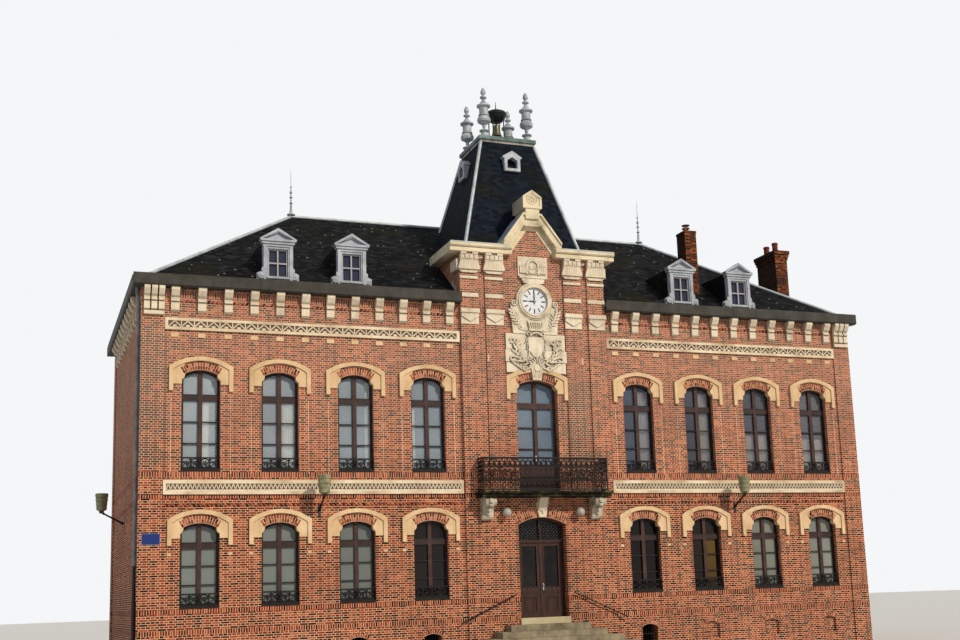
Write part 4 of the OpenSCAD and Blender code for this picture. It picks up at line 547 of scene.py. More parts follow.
# The sunk field's ground is painted a dark brown.
depth = add(tree, "VectorMath ABSOLUTE", [place])
depth = add(tree, "SeparateXYZ", [depth], "Y")
sunk = add(tree, "Math LESS_THAN", [depth, half_d + band_field_out + 0.005])
colour = add(tree, "Mix RGBA", [sunk, colour, "#6a5341"])
coat(shader, colour, 0.84, 0.15, relief=stain, strength=0.4, depth=0.004)
dress(band_stone, "stone_bands")
zigzag_z = (5.575, 5.750)
zigzag_pitch = 0.125
tents_z = (10.525, 10.705)
band_start = 2.78
band_end = 12.02
tent_pitch = 0.38
rib_w = 0.034
for side in ("front", "back"):
    shape = bmesh.new()
    spans = [(-band_end, band_end)]
    if side == "front":
        spans = [(band_start, band_end), (-band_end, -band_start)]
    middle_out = (band_field_out + band_out) / 2 - 0.004
    rib_out = band_out - band_field_out
    for start, end in spans:
        # The borders reach in to the zigzag, which fills a narrower field than the tents do.
        block(shape, ((start + end) / 2, middle_out, 5.547), (end - start, rib_out, 0.056))
        block(shape, ((start + end) / 2, middle_out, 5.761), (end - start, rib_out, 0.022))
        rise = zigzag_z[1] - zigzag_z[0]
        count = int((end - start) / zigzag_pitch)
        pitch = (end - start) / count
        for i in range(2 * count):
            lean = atan2(pitch / 2, rise) * (1 if i % 2 == 0 else -1)
            block(shape, (start + (i + 0.5) * pitch / 2, middle_out, sum(zigzag_z) / 2),
                (rib_w * 0.8, rib_out - 0.004, hypot(pitch / 2, rise)), lean)
        rise = tents_z[1] - tents_z[0]
        count = int((end - start) / tent_pitch)
        pitch = (end - start) / count
        for i in range(count):
            x = start + (i + 0.5) * pitch
            for s in (-1, 1):
                block(shape, (x + s * pitch / 4, middle_out, sum(tents_z) / 2),
                    (rib_w, rib_out - 0.004, hypot(pitch / 2, rise)), -s * atan2(pitch / 2, rise))
            block(shape, (x + pitch / 2, middle_out, sum(tents_z) / 2 + 0.02),
                (rib_w, rib_out - 0.004, rise - 0.04))
            block(shape, (x, middle_out - 0.004, tents_z[0] + 0.03), (0.11, rib_out - 0.010, 0.06))
    keep(shape, f"band_ribs_{side}", limestone)

# The bare enamel plate on the left corner strip: pressed sheet under blue stove enamel with a white rim, held by
# four round-headed screws.
plate_middle = (-12.44, 4.12)
plate_w = 0.53
plate_h = 0.33
corner_out = 0.040


def ball(shape, middle, radius, around, up):
    """Adds a ball with so many faces around it and up it."""
    bmesh.ops.create_uvsphere(shape, u_segments=around, v_segments=up, radius=radius, matrix=at(middle))


for name, inset, out, colour in (("enamel_plate_rim", 0.0, 0.006, "#8f97ac"),
        ("enamel_plate", 0.02, 0.009, "#1d2f6e")):
    shape = bmesh.new()
    block(shape, (plate_middle[0], corner_out + out / 2, plate_middle[1]),
        (plate_w - inset, out, plate_h - inset))
    bmesh.ops.bevel(shape, geom=shape.edges[:], affect="EDGES", offset=0.003, segments=2, profile=0.5,
        material=-1)
    if inset:
        for sx, sz in ((-1, -1), (-1, 1), (1, -1), (1, 1)):
            ball(shape, (plate_middle[0] + sx * (plate_w / 2 - 0.04), corner_out + out,
                plate_middle[1] + sz * (plate_h / 2 - 0.04)), 0.008, 10, 6)
    keep(shape, name, weathered(f"{name}_gloss", [colour, colour], 4.0, 0.22, 0.0003))

# The windows: casements of timber in red-brown paint. The meeting stiles and transoms take a lighter tone, as
# painted light, and the outer frames and the thin bars a nearly black one, as painted shade. The sills are painted
# black, and their near-black tone is painted shade too.
frame_paint, tree, shader, place = surface("red_brown_timber_paint")
spot = add(tree, "VectorMath ABSOLUTE", [place])
spot = add(tree, "SeparateXYZ", [spot]).node.outputs
off = add(tree, "Math SUBTRACT", [spot["X"], first_bay])
off = add(tree, "Math PINGPONG", [off, bay_pitch / 2])
stile = add(tree, "Math LESS_THAN", [off, 0.066])
middle_door = add(tree, "Math LESS_THAN", [spot["X"], 0.8])
# The meeting stiles, the balcony doors and the transoms are painted lighter: painted light on them, against painted
# shade elsewhere.
painted_light_share = add(tree, "Math MAXIMUM", [stile, middle_door])
for transom in (3.905, 8.37):
    beam = add(tree, "Math COMPARE", [spot["Z"], transom, 0.075])
    beam = add(tree, "Math MULTIPLY", [beam, 0.5])
    painted_light_share = add(tree, "Math MAXIMUM", [painted_light_share, beam])
wear = add(tree, "TexNoise", {"Vector": place, "Scale": 3.0, "Detail": 5.0})
# new is the near-black tone of painted shade, and old the lighter tone of painted light.
new = add(tree, "ValToRGB", {"Fac": wear}, stops=[(0.3, "#120b0a"), (0.7, "#231513")])
old = add(tree, "ValToRGB", {"Fac": wear}, stops=[(0.3, "#2f1c18"), (0.7, "#49302a")])
coat(shader, add(tree, "Mix RGBA", [painted_light_share, new, old]), 0.45, 0.25)
dress(frame_paint, "ground_window_frames", "first_window_frames", "balcony_doors")
# The sills' near-black is black paint, darkened further as painted shade.
dress(weathered("black_sill_paint_and_shade", ["#0c0b0b", "#1b1a18"], 2.0, 0.6, shine=0.2), "window_sills")

# The panes: old float glass. Their colour is a painted reflection of a pale sky on the left and of trees across the
# street on the right, with painted shade of the dark rooms where the ground floor is darkest. The front's
# first-floor panes are the clearest, so curtains show behind them.
panes, tree, shader, place = surface("window_glass")
spot = add(tree, "SeparateXYZ", [place]).node.outputs
along = add(tree, "MapRange", {"Value": spot["X"], "From Min": -12.0, "From Max": 12.0})
upper = add(tree, "ValToRGB", {"Fac": along}, stops=[(0.04, "#d0dde6"), (0.40, "#b4c2d0"), (0.52, "#8a9eb3"),
    (0.66, "#6a7386"), (0.78, "#6f7280"), (0.96, "#8a8a93")])
lower = add(tree, "ValToRGB", {"Fac": along}, stops=[(0.04, "#78807b"), (0.28, "#6b716d"), (0.31, "#201b19"),
    (0.70, "#140d09"), (0.79, "#241d12"), (0.83, "#7d7f74"), (0.98, "#8d9087")])
# The storeys' tones and the dormers' dark blue are painted reflections.
storey = add(tree, "Math LESS_THAN", [spot["Z"], 5.0])
roofward = add(tree, "Math GREATER_THAN", [spot["Z"], 11.9])
tone = add(tree, "Mix RGBA", [storey, upper, lower])
tone = add(tree, "Mix RGBA", [roofward, tone, "#30334a"])
# A patch of painted yellow light lies on one ground-floor window to the right of the door.
yellow = add(tree, "Math COMPARE", [spot["X"], 6.46, 0.20])
yellow = only_where(tree, yellow, spot["Z"], 3.02, 0.80)
tone = add(tree, "Mix RGBA", [yellow, tone, "#5a430f"])
haze = add(tree, "TexNoise", {"Vector": place, "Scale": 0.5, "Detail": 2.0})
haze = add(tree, "MapRange", {"Value": haze, "From Min": 0.3, "From Max": 0.7, "To Min": 0.8, "To Max": 1.1})
tone = add(tree, "VectorMath SCALE", [tone, haze])
front = add(tree, "Math LESS_THAN", [spot["Y"], 0.0])
clear = only_where(tree, front, spot["Z"], 7.8, 2.4)
cover = add(tree, "MapRange", {"Value": clear, "To Min": 0.94, "To Max": 0.34})
ripple = add(tree, "TexNoise", {"Vector": place, "Scale": 2.2, "Detail": 1.0})
coat(shader, tone, 0.05, 0.2, relief=ripple, strength=0.15, depth=0.01, others={"Alpha": cover})
dress(panes, "window_glass")

# The curtains: pale voile in soft pleats on a thin brass rod from jamb to jamb. Most are drawn to one side, and two
# are half-height nets. Each is (bay, height above the sill, which side of the window, share of the opening).
first_sill = 6.12
curtains = [(-11.025, 2.15, 0.15, 0.17), (-8.625, 2.15, 0.26, 0.30), (-6.225, 2.90, 0.42, 0.20),
    (-3.825, 2.15, -0.42, 0.20), (3.825, 2.88, 0.27, 0.38), (6.225, 2.88, 0.27, 0.34), (8.625, 1.42, 0.0, 0.92),
    (11.025, 1.30, 0.0, 0.92)]
rod_r = 0.009
curtain_in = 0.30
rod_rise = 0.012
pleat = 0.055
pleat_depth = 0.018
pleat_columns = 8
voile = toned("pale_voile", ["#ece7d6", "#f4f0e4"], 0.9, 0.0005)


def rod(shape, middle, way, radius, length, segments=12, tip=None):
    """Adds a round bar along X, Y or Z. Its far end may be thinner or thicker."""
    turn = Matrix.Rotation(0 if way == "Z" else pi / 2, 4, "Y" if way == "X" else "X")
    bmesh.ops.create_cone(shape, cap_ends=True, segments=segments, radius1=radius, radius2=tip or radius,
        depth=length, matrix=at(middle) @ turn)


brass = weathered("curtain_rod_brass", ["#7a6434", "#a88b4c"], 6.0, 0.35, 0.0005, metal=1.0)
for i, (bay, tall, side, share) in enumerate(curtains):
    top_z = first_sill + tall
    shape = bmesh.new()
    rod(shape, (bay, -curtain_in, top_z), "X", rod_r, window_w)
    for s in (-1, 1):
        ball(shape, (bay + s * (window_w / 2 - 0.02), -curtain_in, top_z), 0.016, 12, 8)
    held = keep(shape, f"curtain_rod_{i}", brass)
    wide = share * window_w
    columns = round(wide / pleat) * pleat_columns
    cloth = bmesh.new()
    bmesh.ops.create_grid(cloth, x_segments=columns, y_segments=12, size=0.5)
    low_z = first_sill + 0.06
    drop = top_z + rod_rise - low_z
    draw = random.Random(i)
    shift = draw.random() * 6
    for vert in cloth.verts:
        along, up = vert.co.x + 0.5, vert.co.y + 0.5
        swing = sin(2 * pi * along * wide / pleat + shift) * pleat_depth * (1 - 0.35 * up)
        vert.co = (bay + side * window_w + (along - 0.5) * wide, front_y + curtain_in + rod_rise + swing,
            low_z + up * drop)
    cloth = keep(cloth, f"curtain_{i}", voile)

# The ironwork: cast and wrought iron under old black paint, with rust at the joints. The guards and the railing
# were cast in thick ornament, so rounded rings, rosettes and leaves lie over the flat bars of the model.
iron = weathered("black_cast_iron", ["#080707", "#100e0d", "#2a1710"], 9.0, 0.5, 0.001, shine=0.2)
dress(iron, "window_guards", "balcony_railing", "handrails", "vent_grilles")
guard_out = -0.080
guard_pitch = 0.284
guard_ring = 0.134
sills = [2.08, 6.12]


def rim(shape, spot, radius, thick, start=0, sweep=360, sides=8, steps=None):
    """Bends a rod into a ring or an arc that faces the street, the arc with a ball at each end. start and sweep
    are in degrees from +X, sides counts the rod's faces, and steps the lengths that it is bent in."""
    turn = radians(sweep)
    profile = at(spot, -radians(start)) @ Matrix.Translation((radius, 0, 0))
    ring = bmesh.ops.create_circle(shape, cap_ends=False, radius=thick, segments=sides, matrix=profile)["verts"]
    wire = list({e for v in ring for e in v.link_edges})
    spun = bmesh.ops.spin(shape, geom=wire, cent=at(spot).translation, axis=(0, 1, 0), angle=turn,
        steps=steps or max(5, round(turn / 0.35)), use_merge=sweep == 360)
    if sweep < 360:
        last = [part for part in spun["geom_last"] if isinstance(part, bmesh.types.BMEdge)]
        bmesh.ops.holes_fill(shape, edges=wire + last)
        for matrix in (profile, at(spot, -radians(start) - turn) @ Matrix.Translation((radius, 0, 0))):
            bmesh.ops.create_icosphere(shape, subdivisions=1, radius=thick * 1.25, matrix=matrix)


for side, xs in (("front", bays), ("back", bays + [0.0])):
    shape = bmesh.new()
    for x in xs:
        for sill_z in sills:
            foot = sill_z + 0.07
            block(shape, (x, guard_out, foot + 0.024), (window_w - 0.01, 0.030, 0.050))
            block(shape, (x, guard_out, foot + 0.352), (window_w - 0.01, 0.034, 0.036))
            for i in range(4):
                middle_x, middle_z = x + (i - 1.5) * guard_pitch, foot + 0.19
                if abs(i - 1.5) < 1:
                    rim(shape, (middle_x, guard_out, middle_z), guard_ring, 0.017, sides=6, steps=12)
                for turn in range(5):
                    angle = 2 * pi * (turn + 0.25) / 5
                    spot = (middle_x + 0.050 * sin(angle), guard_out, middle_z + 0.050 * cos(angle))
                    boss(shape, spot, (0.018, 0.012, 0.044), angle)
            for i in (-1, 0, 1):
                boss(shape, (x + i * guard_pitch, guard_out, foot + 0.30), (0.045, 0.012, 0.030))
                boss(shape, (x + i * guard_pitch, guard_out, foot + 0.08), (0.050, 0.012, 0.036))
                boss(shape, (x + i * guard_pitch, guard_out, foot + 0.19), (0.012, 0.010, 0.085))
    keep(shape, f"guard_castings_{side}", iron)

# The railing's castings: cast iron rings and leaves, 24 repeats along the front and 3 at each side, pinned to the
# flat bars. A side is laid out in the plane of the front and then turned.
rail_floor = 5.45
rail_plane = 0.593
rail_half = 2.186
rail_pitch = 2 * rail_half / 24


def mirrored(shape):
    """Adds the other half of a piece that is alike on both sides of the middle."""
    bmesh.ops.mirror(shape, geom=shape.verts[:] + shape.edges[:] + shape.faces[:], axis="X", merge_dist=0)


for name, count in (("front", 24), ("sides", 3)):
    shape = bmesh.new()
    start = -rail_half if name == "front" else 0.0
    pitch = rail_pitch if name == "front" else 0.515 / 3
    for z, tall in ((0.065, 0.050), (0.370, 0.040), (0.800, 0.042), (1.085, 0.050)):
        block(shape, (start + count * pitch / 2, rail_plane, rail_floor + z), (count * pitch, 0.030, tall))
    for i in range(count):
        middle_x = start + (i + 0.5) * pitch
        rim(shape, (middle_x, rail_plane, rail_floor + 0.915), 0.070, 0.018, sides=6, steps=12)
        for z, size, lean in ((0.585, (0.020, 0.012, 0.075), 0.5), (0.665, (0.017, 0.012, 0.055), -0.6),
                (0.505, (0.017, 0.012, 0.055), -0.6), (0.230, (0.022, 0.012, 0.060), 0.0),
                (0.150, (0.040, 0.012, 0.022), 0.0), (1.030, (0.030, 0.012, 0.022), 0.0)):
            boss(shape, (middle_x, rail_plane, rail_floor + z), size, lean)
        for z, size in ((0.985, 0.030), (0.845, 0.028), (0.585, 0.032), (0.440, 0.030), (0.725, 0.030),
                (0.310, 0.034)):
            boss(shape, (start + i * pitch, rail_plane, rail_floor + z), (size, 0.014, size * 1.3))
    if name == "sides":
        corner = Vector((0, front_y - rail_plane, 0))
        bmesh.ops.rotate(shape, verts=shape.verts, cent=corner, matrix=Matrix.Rotation(pi / 2, 3, "Z"))
        bmesh.ops.translate(shape, verts=shape.verts, vec=(2.203, 0.02, 0))
        mirrored(shape)
    keep(shape, f"railing_castings_{name}", iron)

# The eaves boxes: sheet zinc gone dull grey, folded round timber in lengths that lap under narrow straps. They hide
# the gutters and end at the pavilion.
eaves_sheet = weathered("eaves_sheet_zinc", ["#26251f", "#3d3b35", "#4d4a43"], 2.2, 0.65, 0.002, streaks=0.4,
    shine=0.2)
dress(eaves_sheet, "front_back_gutters", "side_gutters")
eaves_out = 0.31
eaves_z = (11.73, 12.10)
strap_pitch = 1.2
for side in ("front", "back"):
    shape = bmesh.new()
    for s in (-1, 1):
        for i in range(9):
            x = s * (2.95 + i * strap_pitch)
            block(shape, (x, eaves_out + 0.002, sum(eaves_z) / 2),
                (0.03, 0.004, eaves_z[1] - eaves_z[0] - 0.01))
            block(shape, (x, eaves_out / 2, eaves_z[1] + 0.004), (0.03, eaves_out, 0.008))
    keep(shape, f"eaves_straps_{side}", eaves_sheet)

# The roof: natural slates about 22 cm wide, laid in courses whose tails overlap, each nailed to the boards under
# it. Lichen has settled on the main roof, and the tower's slates are bluer and in taller courses.
slate_w = 0.22
slate_gap = 0.003
roof_course = 0.071
tower_course = 0.105


def slating(name, course, slate_tones, moss_share):
    """Slates in broken bond. course is the height of a row, moss_share how much pale lichen there is."""
    material, tree, shader, place = surface(name)
    plane = wall_plane(tree, place, flat_from=0.96)
    rows = add(tree, "TexBrick", {"Vector": plane, "Color1": "#000000", "Color2": "#ffffff",
        "Mortar": "#000000", "Scale": 1.0, "Mortar Size": slate_gap, "Brick Width": slate_w,
        "Row Height": course}, offset=0.5)
    colour = add(tree, "ValToRGB", {"Fac": rows}, stops=slate_tones)
    broad = add(tree, "TexNoise", {"Vector": place, "Scale": 0.7, "Detail": 5.0})
    green = add(tree, "MapRange", {"Value": broad, "From Min": 0.5, "From Max": 0.7, "To Max": 0.6})
    colour = add(tree, "Mix RGBA", [green, colour, "#1f1f10"])
    if moss_share:
        tufts = add(tree, "TexVoronoi", {"Vector": place, "Scale": 3.0})
        tufts = add(tree, "MapRange", {"Value": tufts, "From Min": 0.13, "From Max": 0.09,
            "To Max": moss_share})
        colour = add(tree, "Mix RGBA", [tufts, colour, "#96968f"])
    rise = add(tree, "SeparateXYZ", [plane], "Y")
    rise = add(tree, "Math DIVIDE", [rise, course])
    tail = add(tree, "Math FRACT", [rise])
    split = add(tree, "TexNoise", {"Vector": place, "Scale": 24.0, "Detail": 3.0})
    relief = add(tree, "Math SUBTRACT", [split, tail])
    coat(shader, colour, 0.8, 0.03, relief=relief, strength=0.7, depth=0.008)
    return material


roof_slate = slating("roof_slate", roof_course, ["#080809", "#0e0e10", "#141416", "#1b1b1e", "#29292d"], 0.6)
dress(roof_slate, "main_roof_front", "main_roof_back", "main_roof_ends", "dormer_roofs")
tower_slate = slating("tower_slate", tower_course, ["#10141a", "#141921", "#171d26", "#1b212b", "#20262f"], 0.0)
dress(tower_slate, "tower_roof_front_back", "tower_roof_sides", "tower_base")

# The ridge and hip caps and the turned finials: zinc sheet gone chalky. The caps are dressed over timber rolls, and
# the finials are stamped in halves and soldered round a core.
zinc = weathered("weathered_zinc", ["#7f878b", "#a9b1b4", "#c6cccd"], 2.6, 0.5, 0.001, metal=0.15)
dress(zinc, "zinc_caps")
# The finials' hollows are darkened with dirt and painted shade.
finial_zinc = weathered("stamped_finial_zinc", ["#565a60", "#a0a5ab", "#cbd0d4"], 3.5, 0.55, 0.002, metal=0.1,
    dirt_and_shade=0.5)
dress(finial_zinc, "roof_finials")

# The dormers: stamped zinc fronts on timber. A round rim runs round each scroll, with a boss in its eye, and the
# windows behind them are painted off-white.
dormer_zinc = weathered("stamped_dormer_zinc", ["#73787e", "#9ea3aa", "#bfc3ca"], 2.2, 0.55, 0.001, metal=0.1,
    streaks=0.3)
dress(dormer_zinc, "dormer_fronts", "tower_dormers")
dress(weathered("off_white_paint", ["#8d8b8d", "#b3afae"], 2.6, 0.5), "dormer_windows")
dormer_xs = [-8.625, -6.225, 5.985, 8.385]
dormer_face = -0.26
dormer_z = 12.25
scroll_x = 0.54
scroll_r = 0.13


shape = bmesh.new()
for x in dormer_xs:
    for s in (-1, 1):
        spot = (x + s * scroll_x, dormer_face + 0.012, dormer_z + scroll_r)
        rim(shape, spot, scroll_r - 0.03, 0.016)
        for off, up, size in ((0.0, 0.0, (0.108, 0.022, 0.108)), (0.0, 0.0, (0.034, 0.036, 0.034)),
                (0.055, 0.17, (0.050, 0.020, 0.105))):
            boss(shape, (spot[0] - s * off, spot[1], spot[2] + up), size, rounds=2)
keep(shape, "dormer_scroll_rims", dormer_zinc)

# The chimneys: softer orange bricks, worn by weather and blackened by smoke, with painted shade on the sides that
# look along the ridge, and pots of fired clay set in mortar on their heads and a sheet cowl.
chimney_tones = ["#120907", "#33170b", "#552712", "#7a3d1b", "#a8602f"]
chimney_brick = brickwork("worn_chimney_brick", chimney_tones, "#755440", "#100a0a", 0.75, facade=False)
dress(chimney_brick, "chimneys")
dress(weathered("unglazed_clay", ["#3d1e17", "#6d3527", "#8c4a37"], 4.0, 0.85, shine=0.15), "chimney_pots")

# The pavilion's cornice: limestone blocks, covered on top with sheet lead that has gone blue-grey. The lead is
# dressed down over the front edge as a thin pale drip.
leaded, tree, shader, place = surface("leaded_limestone")
stain = add(tree, "TexNoise", {"Vector": place, "Scale": 1.6, "Detail": 6.0, "Roughness": 0.62})
stone_tones = [(0.3, "#95896f"), (0.42, "#c9bb9c"), (0.55, "#e0d1b0"), (0.75, "#eee1c3")]
stone = add(tree, "ValToRGB", {"Fac": stain}, stops=stone_tones)
lead = add(tree, "ValToRGB", {"Fac": stain}, stops=[(0.3, "#6d7783"), (0.7, "#9aa5b2")])
looks_up = add(tree, "SeparateXYZ", [add(tree, "NewGeometry", out="True Normal")], "Z")
height = add(tree, "SeparateXYZ", [place], "Z")
covered = add(tree, "Math GREATER_THAN", [looks_up, 0.25])
low = add(tree, "Math LESS_THAN", [height, 15.04])
covered = add(tree, "Math MULTIPLY", [covered, low])
colour = add(tree, "Mix RGBA", [covered, stone, lead])
# The apex block's faces that look to the left are painted a dark grey-green.
looks_left = add(tree, "SeparateXYZ", [add(tree, "NewGeometry", out="True Normal")], "X")
left_faces_grey_green = add(tree, "MapRange", {"Value": looks_left, "From Min": -0.3, "From Max": -0.9, "To Max": 0.6})
at_apex = add(tree, "Math GREATER_THAN", [height, 15.1])
left_faces_grey_green = add(tree, "Math MULTIPLY", [left_faces_grey_green, at_apex])
colour = add(tree, "Mix RGBA", [left_faces_grey_green, colour, "#4e5045"])
coat(shader, colour, 0.8, 0.2, relief=stain, strength=0.4, depth=0.004)
dress(leaded, "pavilion_cornice")
lead_drip = weathered("pale_lead_drip", ["#9da3a8", "#c9ced0"], 2.0, 0.5, 0.001)
cornice_z = 13.80
cornice_face = pavilion_proud + 0.30
shape = bmesh.new()
for s in (-1, 1):
    block(shape, (s * 2.04, cornice_face - 0.03, cornice_z + 0.006), (1.96, 0.08, 0.012))
    block(shape, (s * 2.04, cornice_face + 0.004, cornice_z - 0.008), (1.96, 0.008, 0.026))
keep(shape, "cornice_lead_drip", lead_drip)

# The lead soakers: sheet lead folded into the joint where the roof meets the pavilion's cheeks, one strip on each
# side, held by wedges.
shape = bmesh.new()
for s in (-1, 1):
    spot = at((s * 2.656, -0.48, 12.42)) @ Matrix.Rotation(radians(-36), 4, "X")
    bmesh.ops.create_cube(shape, size=1, matrix=spot @ Matrix.Diagonal((0.008, 0.16, 0.5, 1)))
keep(shape, "cheek_lead", lead_drip)

# The rosette in the apex block's panel: eight worn petals in a ring, cut from the same limestone as the block and
# only a few centimetres proud.
shape = bmesh.new()
apex_out = pavilion_proud + 0.235
apex_z = 15.50
petal_r = 0.10
rim(shape, (0.0, apex_out + 0.01, apex_z), 0.19, 0.018)
for i in range(8):
    turn = pi / 4 * i
    spot = (petal_r * cos(turn), apex_out + 0.012, apex_z + petal_r * sin(turn))
    boss(shape, spot, (0.065, 0.022, 0.03), -turn, rounds=2)
keep(shape, "apex_rosette", leaded)

# The pilasters' stones keep the limestone of the brackets. A fillet runs along each shield's ledge, and a bead
# under the blocks of each capital.
pilaster_face = pavilion_proud + 0.050
pilaster_xs = [2.33, 1.44]
shape = bmesh.new()
for s in (-1, 1):
    for x in pilaster_xs:
        block(shape, (s * x, pilaster_face + 0.055, 13.232), (0.66, 0.13, 0.03))
        block(shape, (s * x, pilaster_face + 0.047, 11.435), (0.67, 0.10, 0.022))
        block(shape, (s * x, pilaster_face + 0.064, 11.395), (0.60, 0.008, 0.030))
        for i in range(4):
            block(shape, (s * x - 0.24 + 0.16 * i, pilaster_face + 0.142, 13.335), (0.085, 0.008, 0.085))
        for i in range(7):
            block(shape, (s * x - 0.27 + 0.09 * i, pilaster_face + 0.112, 13.07), (0.035, 0.010, 0.20))
keep(shape, "capital_mouldings", limestone)

# The narrow stones: two upright pieces of limestone, let into the inner pilasters beside the clock's panel and set
# nearly flush.
shape = bmesh.new()
for s in (-1, 1):
    block(shape, (s * 1.715, pilaster_face + 0.002, 9.92), (0.065, 0.012, 0.24))
keep(shape, "pilaster_inset_stones", yellow_stone)

# The carving round the clock, cut in a fine pale limestone: branches of leaves, ribbons with rolled ends, a fluted
# bowl and a fan of leaves over the keystone. The shield stays plain.
# The carving's hollows are darkened strongly, with dirt and painted shade.
carved_stone = weathered("fine_carving_stone", ["#938873", "#d2c5ac", "#e6d9c1", "#f1e7d2"], 2.2, 0.82, 0.004,
    streaks=0.25, shine=0.15, dirt_and_shade=0.85)
dress(carved_stone, "clock_surround")
panel_out = pavilion_proud + 0.060
broad_out = pavilion_proud + 0.090
leaf_l = 0.105
leaf_w = 0.038


def leaf(shape, spot, lean, length=leaf_l, width=leaf_w, thick=0.034):
    """Adds a carved leaf: a pointed oval that swells from the ground. lean turns its tip away from upright."""
    spot = (spot[0], spot[1] + 0.006, spot[2])
    made = boss(shape, spot, (width, thick, length), lean, rounds=2)
    bmesh.ops.rotate(shape, verts=made, cent=at(spot).translation, matrix=Matrix.Rotation(0.16, 3, "X"))


def branch(shape, start, centre, radius, sweep, pairs, out):
    """A bent stem with pairs of leaves that point along it. start is the angle of its foot round the centre."""
    rim(shape, (centre[0], out + 0.010, centre[1]), radius, 0.013, start, sweep)
    for i in range(pairs + 1):
        turn = radians(start + sweep * (i + 0.5) / (pairs + 1))
        spot = (centre[0] + radius * cos(turn), centre[1] + radius * sin(turn))
        for side in (-1, 1):
            # The stem runs across the radius, and each leaf of a pair opens to one side of it.
            lean = side * 0.62 - turn
            leaf(shape, (spot[0] + 0.075 * sin(lean), out + 0.012, spot[1] + 0.075 * cos(lean)), lean)


# Right halves, which are then mirrored: the two branches beside the shield, the ribbons, and the corner curls
shape = bmesh.new()
branch(shape, -100, (0.18, 10.28), 0.52, 118, 6, broad_out)
branch(shape, -80, (0.42, 10.20), 0.36, 135, 4, broad_out)
for spot, radius, thick, start, sweep in (((0.86, panel_out + 0.02, 10.55), 0.085, 0.030, -60, 290),
        ((0.93, panel_out + 0.02, 10.22), 0.060, 0.022, 90, 250),
        ((0.40, broad_out + 0.02, 9.93), 0.34, 0.030, -95, 80),
        ((0.62, broad_out + 0.02, 10.16), 0.36, 0.028, -130, 70),
        ((0.88, broad_out + 0.03, 9.93), 0.075, 0.028, 120, 300),
        ((0.44, panel_out + 0.055, 9.60), 0.070, 0.026, 0, 360),
        ((0.64, broad_out + 0.02, 10.00), 0.065, 0.024, -30, 270)):
    rim(shape, spot, radius, thick, start, sweep)
for i in range(5):
    leaf(shape, (0.52 + 0.09 * i, panel_out + 0.05, 9.66 + 0.055 * i), 2.1, 0.055, 0.020, 0.030)
for i in range(3):
    leaf(shape, (0.30 + 0.10 * i, broad_out + 0.012, 9.92 - 0.02 * i), 1.5 + 0.3 * i, 0.08, 0.03)
# A fan of leaves over the keystone, half of it
for i in range(1, 4):
    lean = 0.42 * i
    leaf(shape, (0.20 * sin(lean), broad_out + 0.03, 9.70 + 0.20 * cos(lean)), lean, 0.10, 0.034, 0.034)
# Flutes of the bowl under the ring, and the folds that hang from the small arched hood
for i in range(1, 4):
    leaf(shape, (0.075 * i, pavilion_proud + 0.135, 11.07), 0.10 * i, 0.13, 0.030, 0.026)
rim(shape, (0.0, pavilion_proud + 0.135, 10.36), 0.40, 0.018, 56, 34)
rim(shape, (0.26, pavilion_proud + 0.10, 10.80), 0.055, 0.022, -180, 270)
# Sprays of leaves on the pedestal beside the ring, and the knobs at its corners
branch(shape, -48, (0.0, 11.72), 0.86, 38, 4, pavilion_proud + 0.085)
for i in range(4):
    leaf(shape, (0.66 - 0.035 * i, pavilion_proud + 0.087, 11.46 - 0.12 * i), -0.75, 0.10, 0.034, 0.024)
    leaf(shape, (0.36 + 0.07 * i, pavilion_proud + 0.087, 10.92 + 0.015 * i), 0.9, 0.075, 0.028, 0.024)
mirrored(shape)
leaf(shape, (0.0, broad_out + 0.034, 9.91), 0.0, 0.11, 0.036, 0.036)
leaf(shape, (0.0, pavilion_proud + 0.135, 11.07), 0.0, 0.13, 0.030, 0.026)
keep(shape, "clock_carving", carved_stone)
# Mouldings: the plaque's arch and its flanks, and a string of beads round the ring
shape = bmesh.new()
clock_z = 11.93
for i in range(64):
    turn = 2 * pi * i / 64
    spot = (0.565 * cos(turn), pavilion_proud + 0.146, clock_z + 0.565 * sin(turn))
    boss(shape, spot, (0.014, 0.014, 0.014))
rim(shape, (0.0, pavilion_proud + 0.085, 13.17), 0.265, 0.014, 0, 180)
rim(shape, (0.0, pavilion_proud + 0.052, 13.17), 0.10, 0.020, 0, 180)
for s in (-1, 1):
    for z in (13.16, 12.93):
        block(shape, (s * 0.36, pavilion_proud + 0.092, z), (0.26, 0.016, 0.025))
    rim(shape, (s * 0.36, pavilion_proud + 0.085, 13.045), 0.05, 0.012)
    block(shape, (s * 0.12, pavilion_proud + 0.056, 13.00), (0.02, 0.014, 0.30))
keep(shape, "plaque_mouldings", carved_stone)

# The dial: white stove enamel on sheet copper, with a plain black bar at each hour and a dot at each minute. The
# hands are black sheet steel on one shaft.
enamel = stained("white_dial_enamel", [(0.35, "#cdd0d2"), (0.65, "#dfe1e3")], {"Scale": 5.0, "Detail": 4.0},
    0.28, others={"Coat Weight": 0.3})
dress(enamel, "clock_dial")
hand_black = weathered("black_hand_steel", ["#0b0b0b", "#191919"], 10.0, 0.4, 0.0005)
dress(hand_black, "minute_hand", "hour_hand")
dial_front = pavilion_proud + 0.080
shape = bmesh.new()
for count, middle, long, wide in ((12, 0.335, 0.135, 0.036), (60, 0.425, 0.018, 0.006)):
    for i in range(count):
        # Every third bar of the hours is longer and wider.
        more = 0.010 if count == 12 and i % 3 == 0 else 0.0
        lean = 2 * pi / count * i
        block(shape, (middle * sin(lean), dial_front + 0.001, clock_z + middle * cos(lean)),
            (wide + more, 0.003, long + 1.5 * more), lean)
keep(shape, "dial_marks", hand_black)

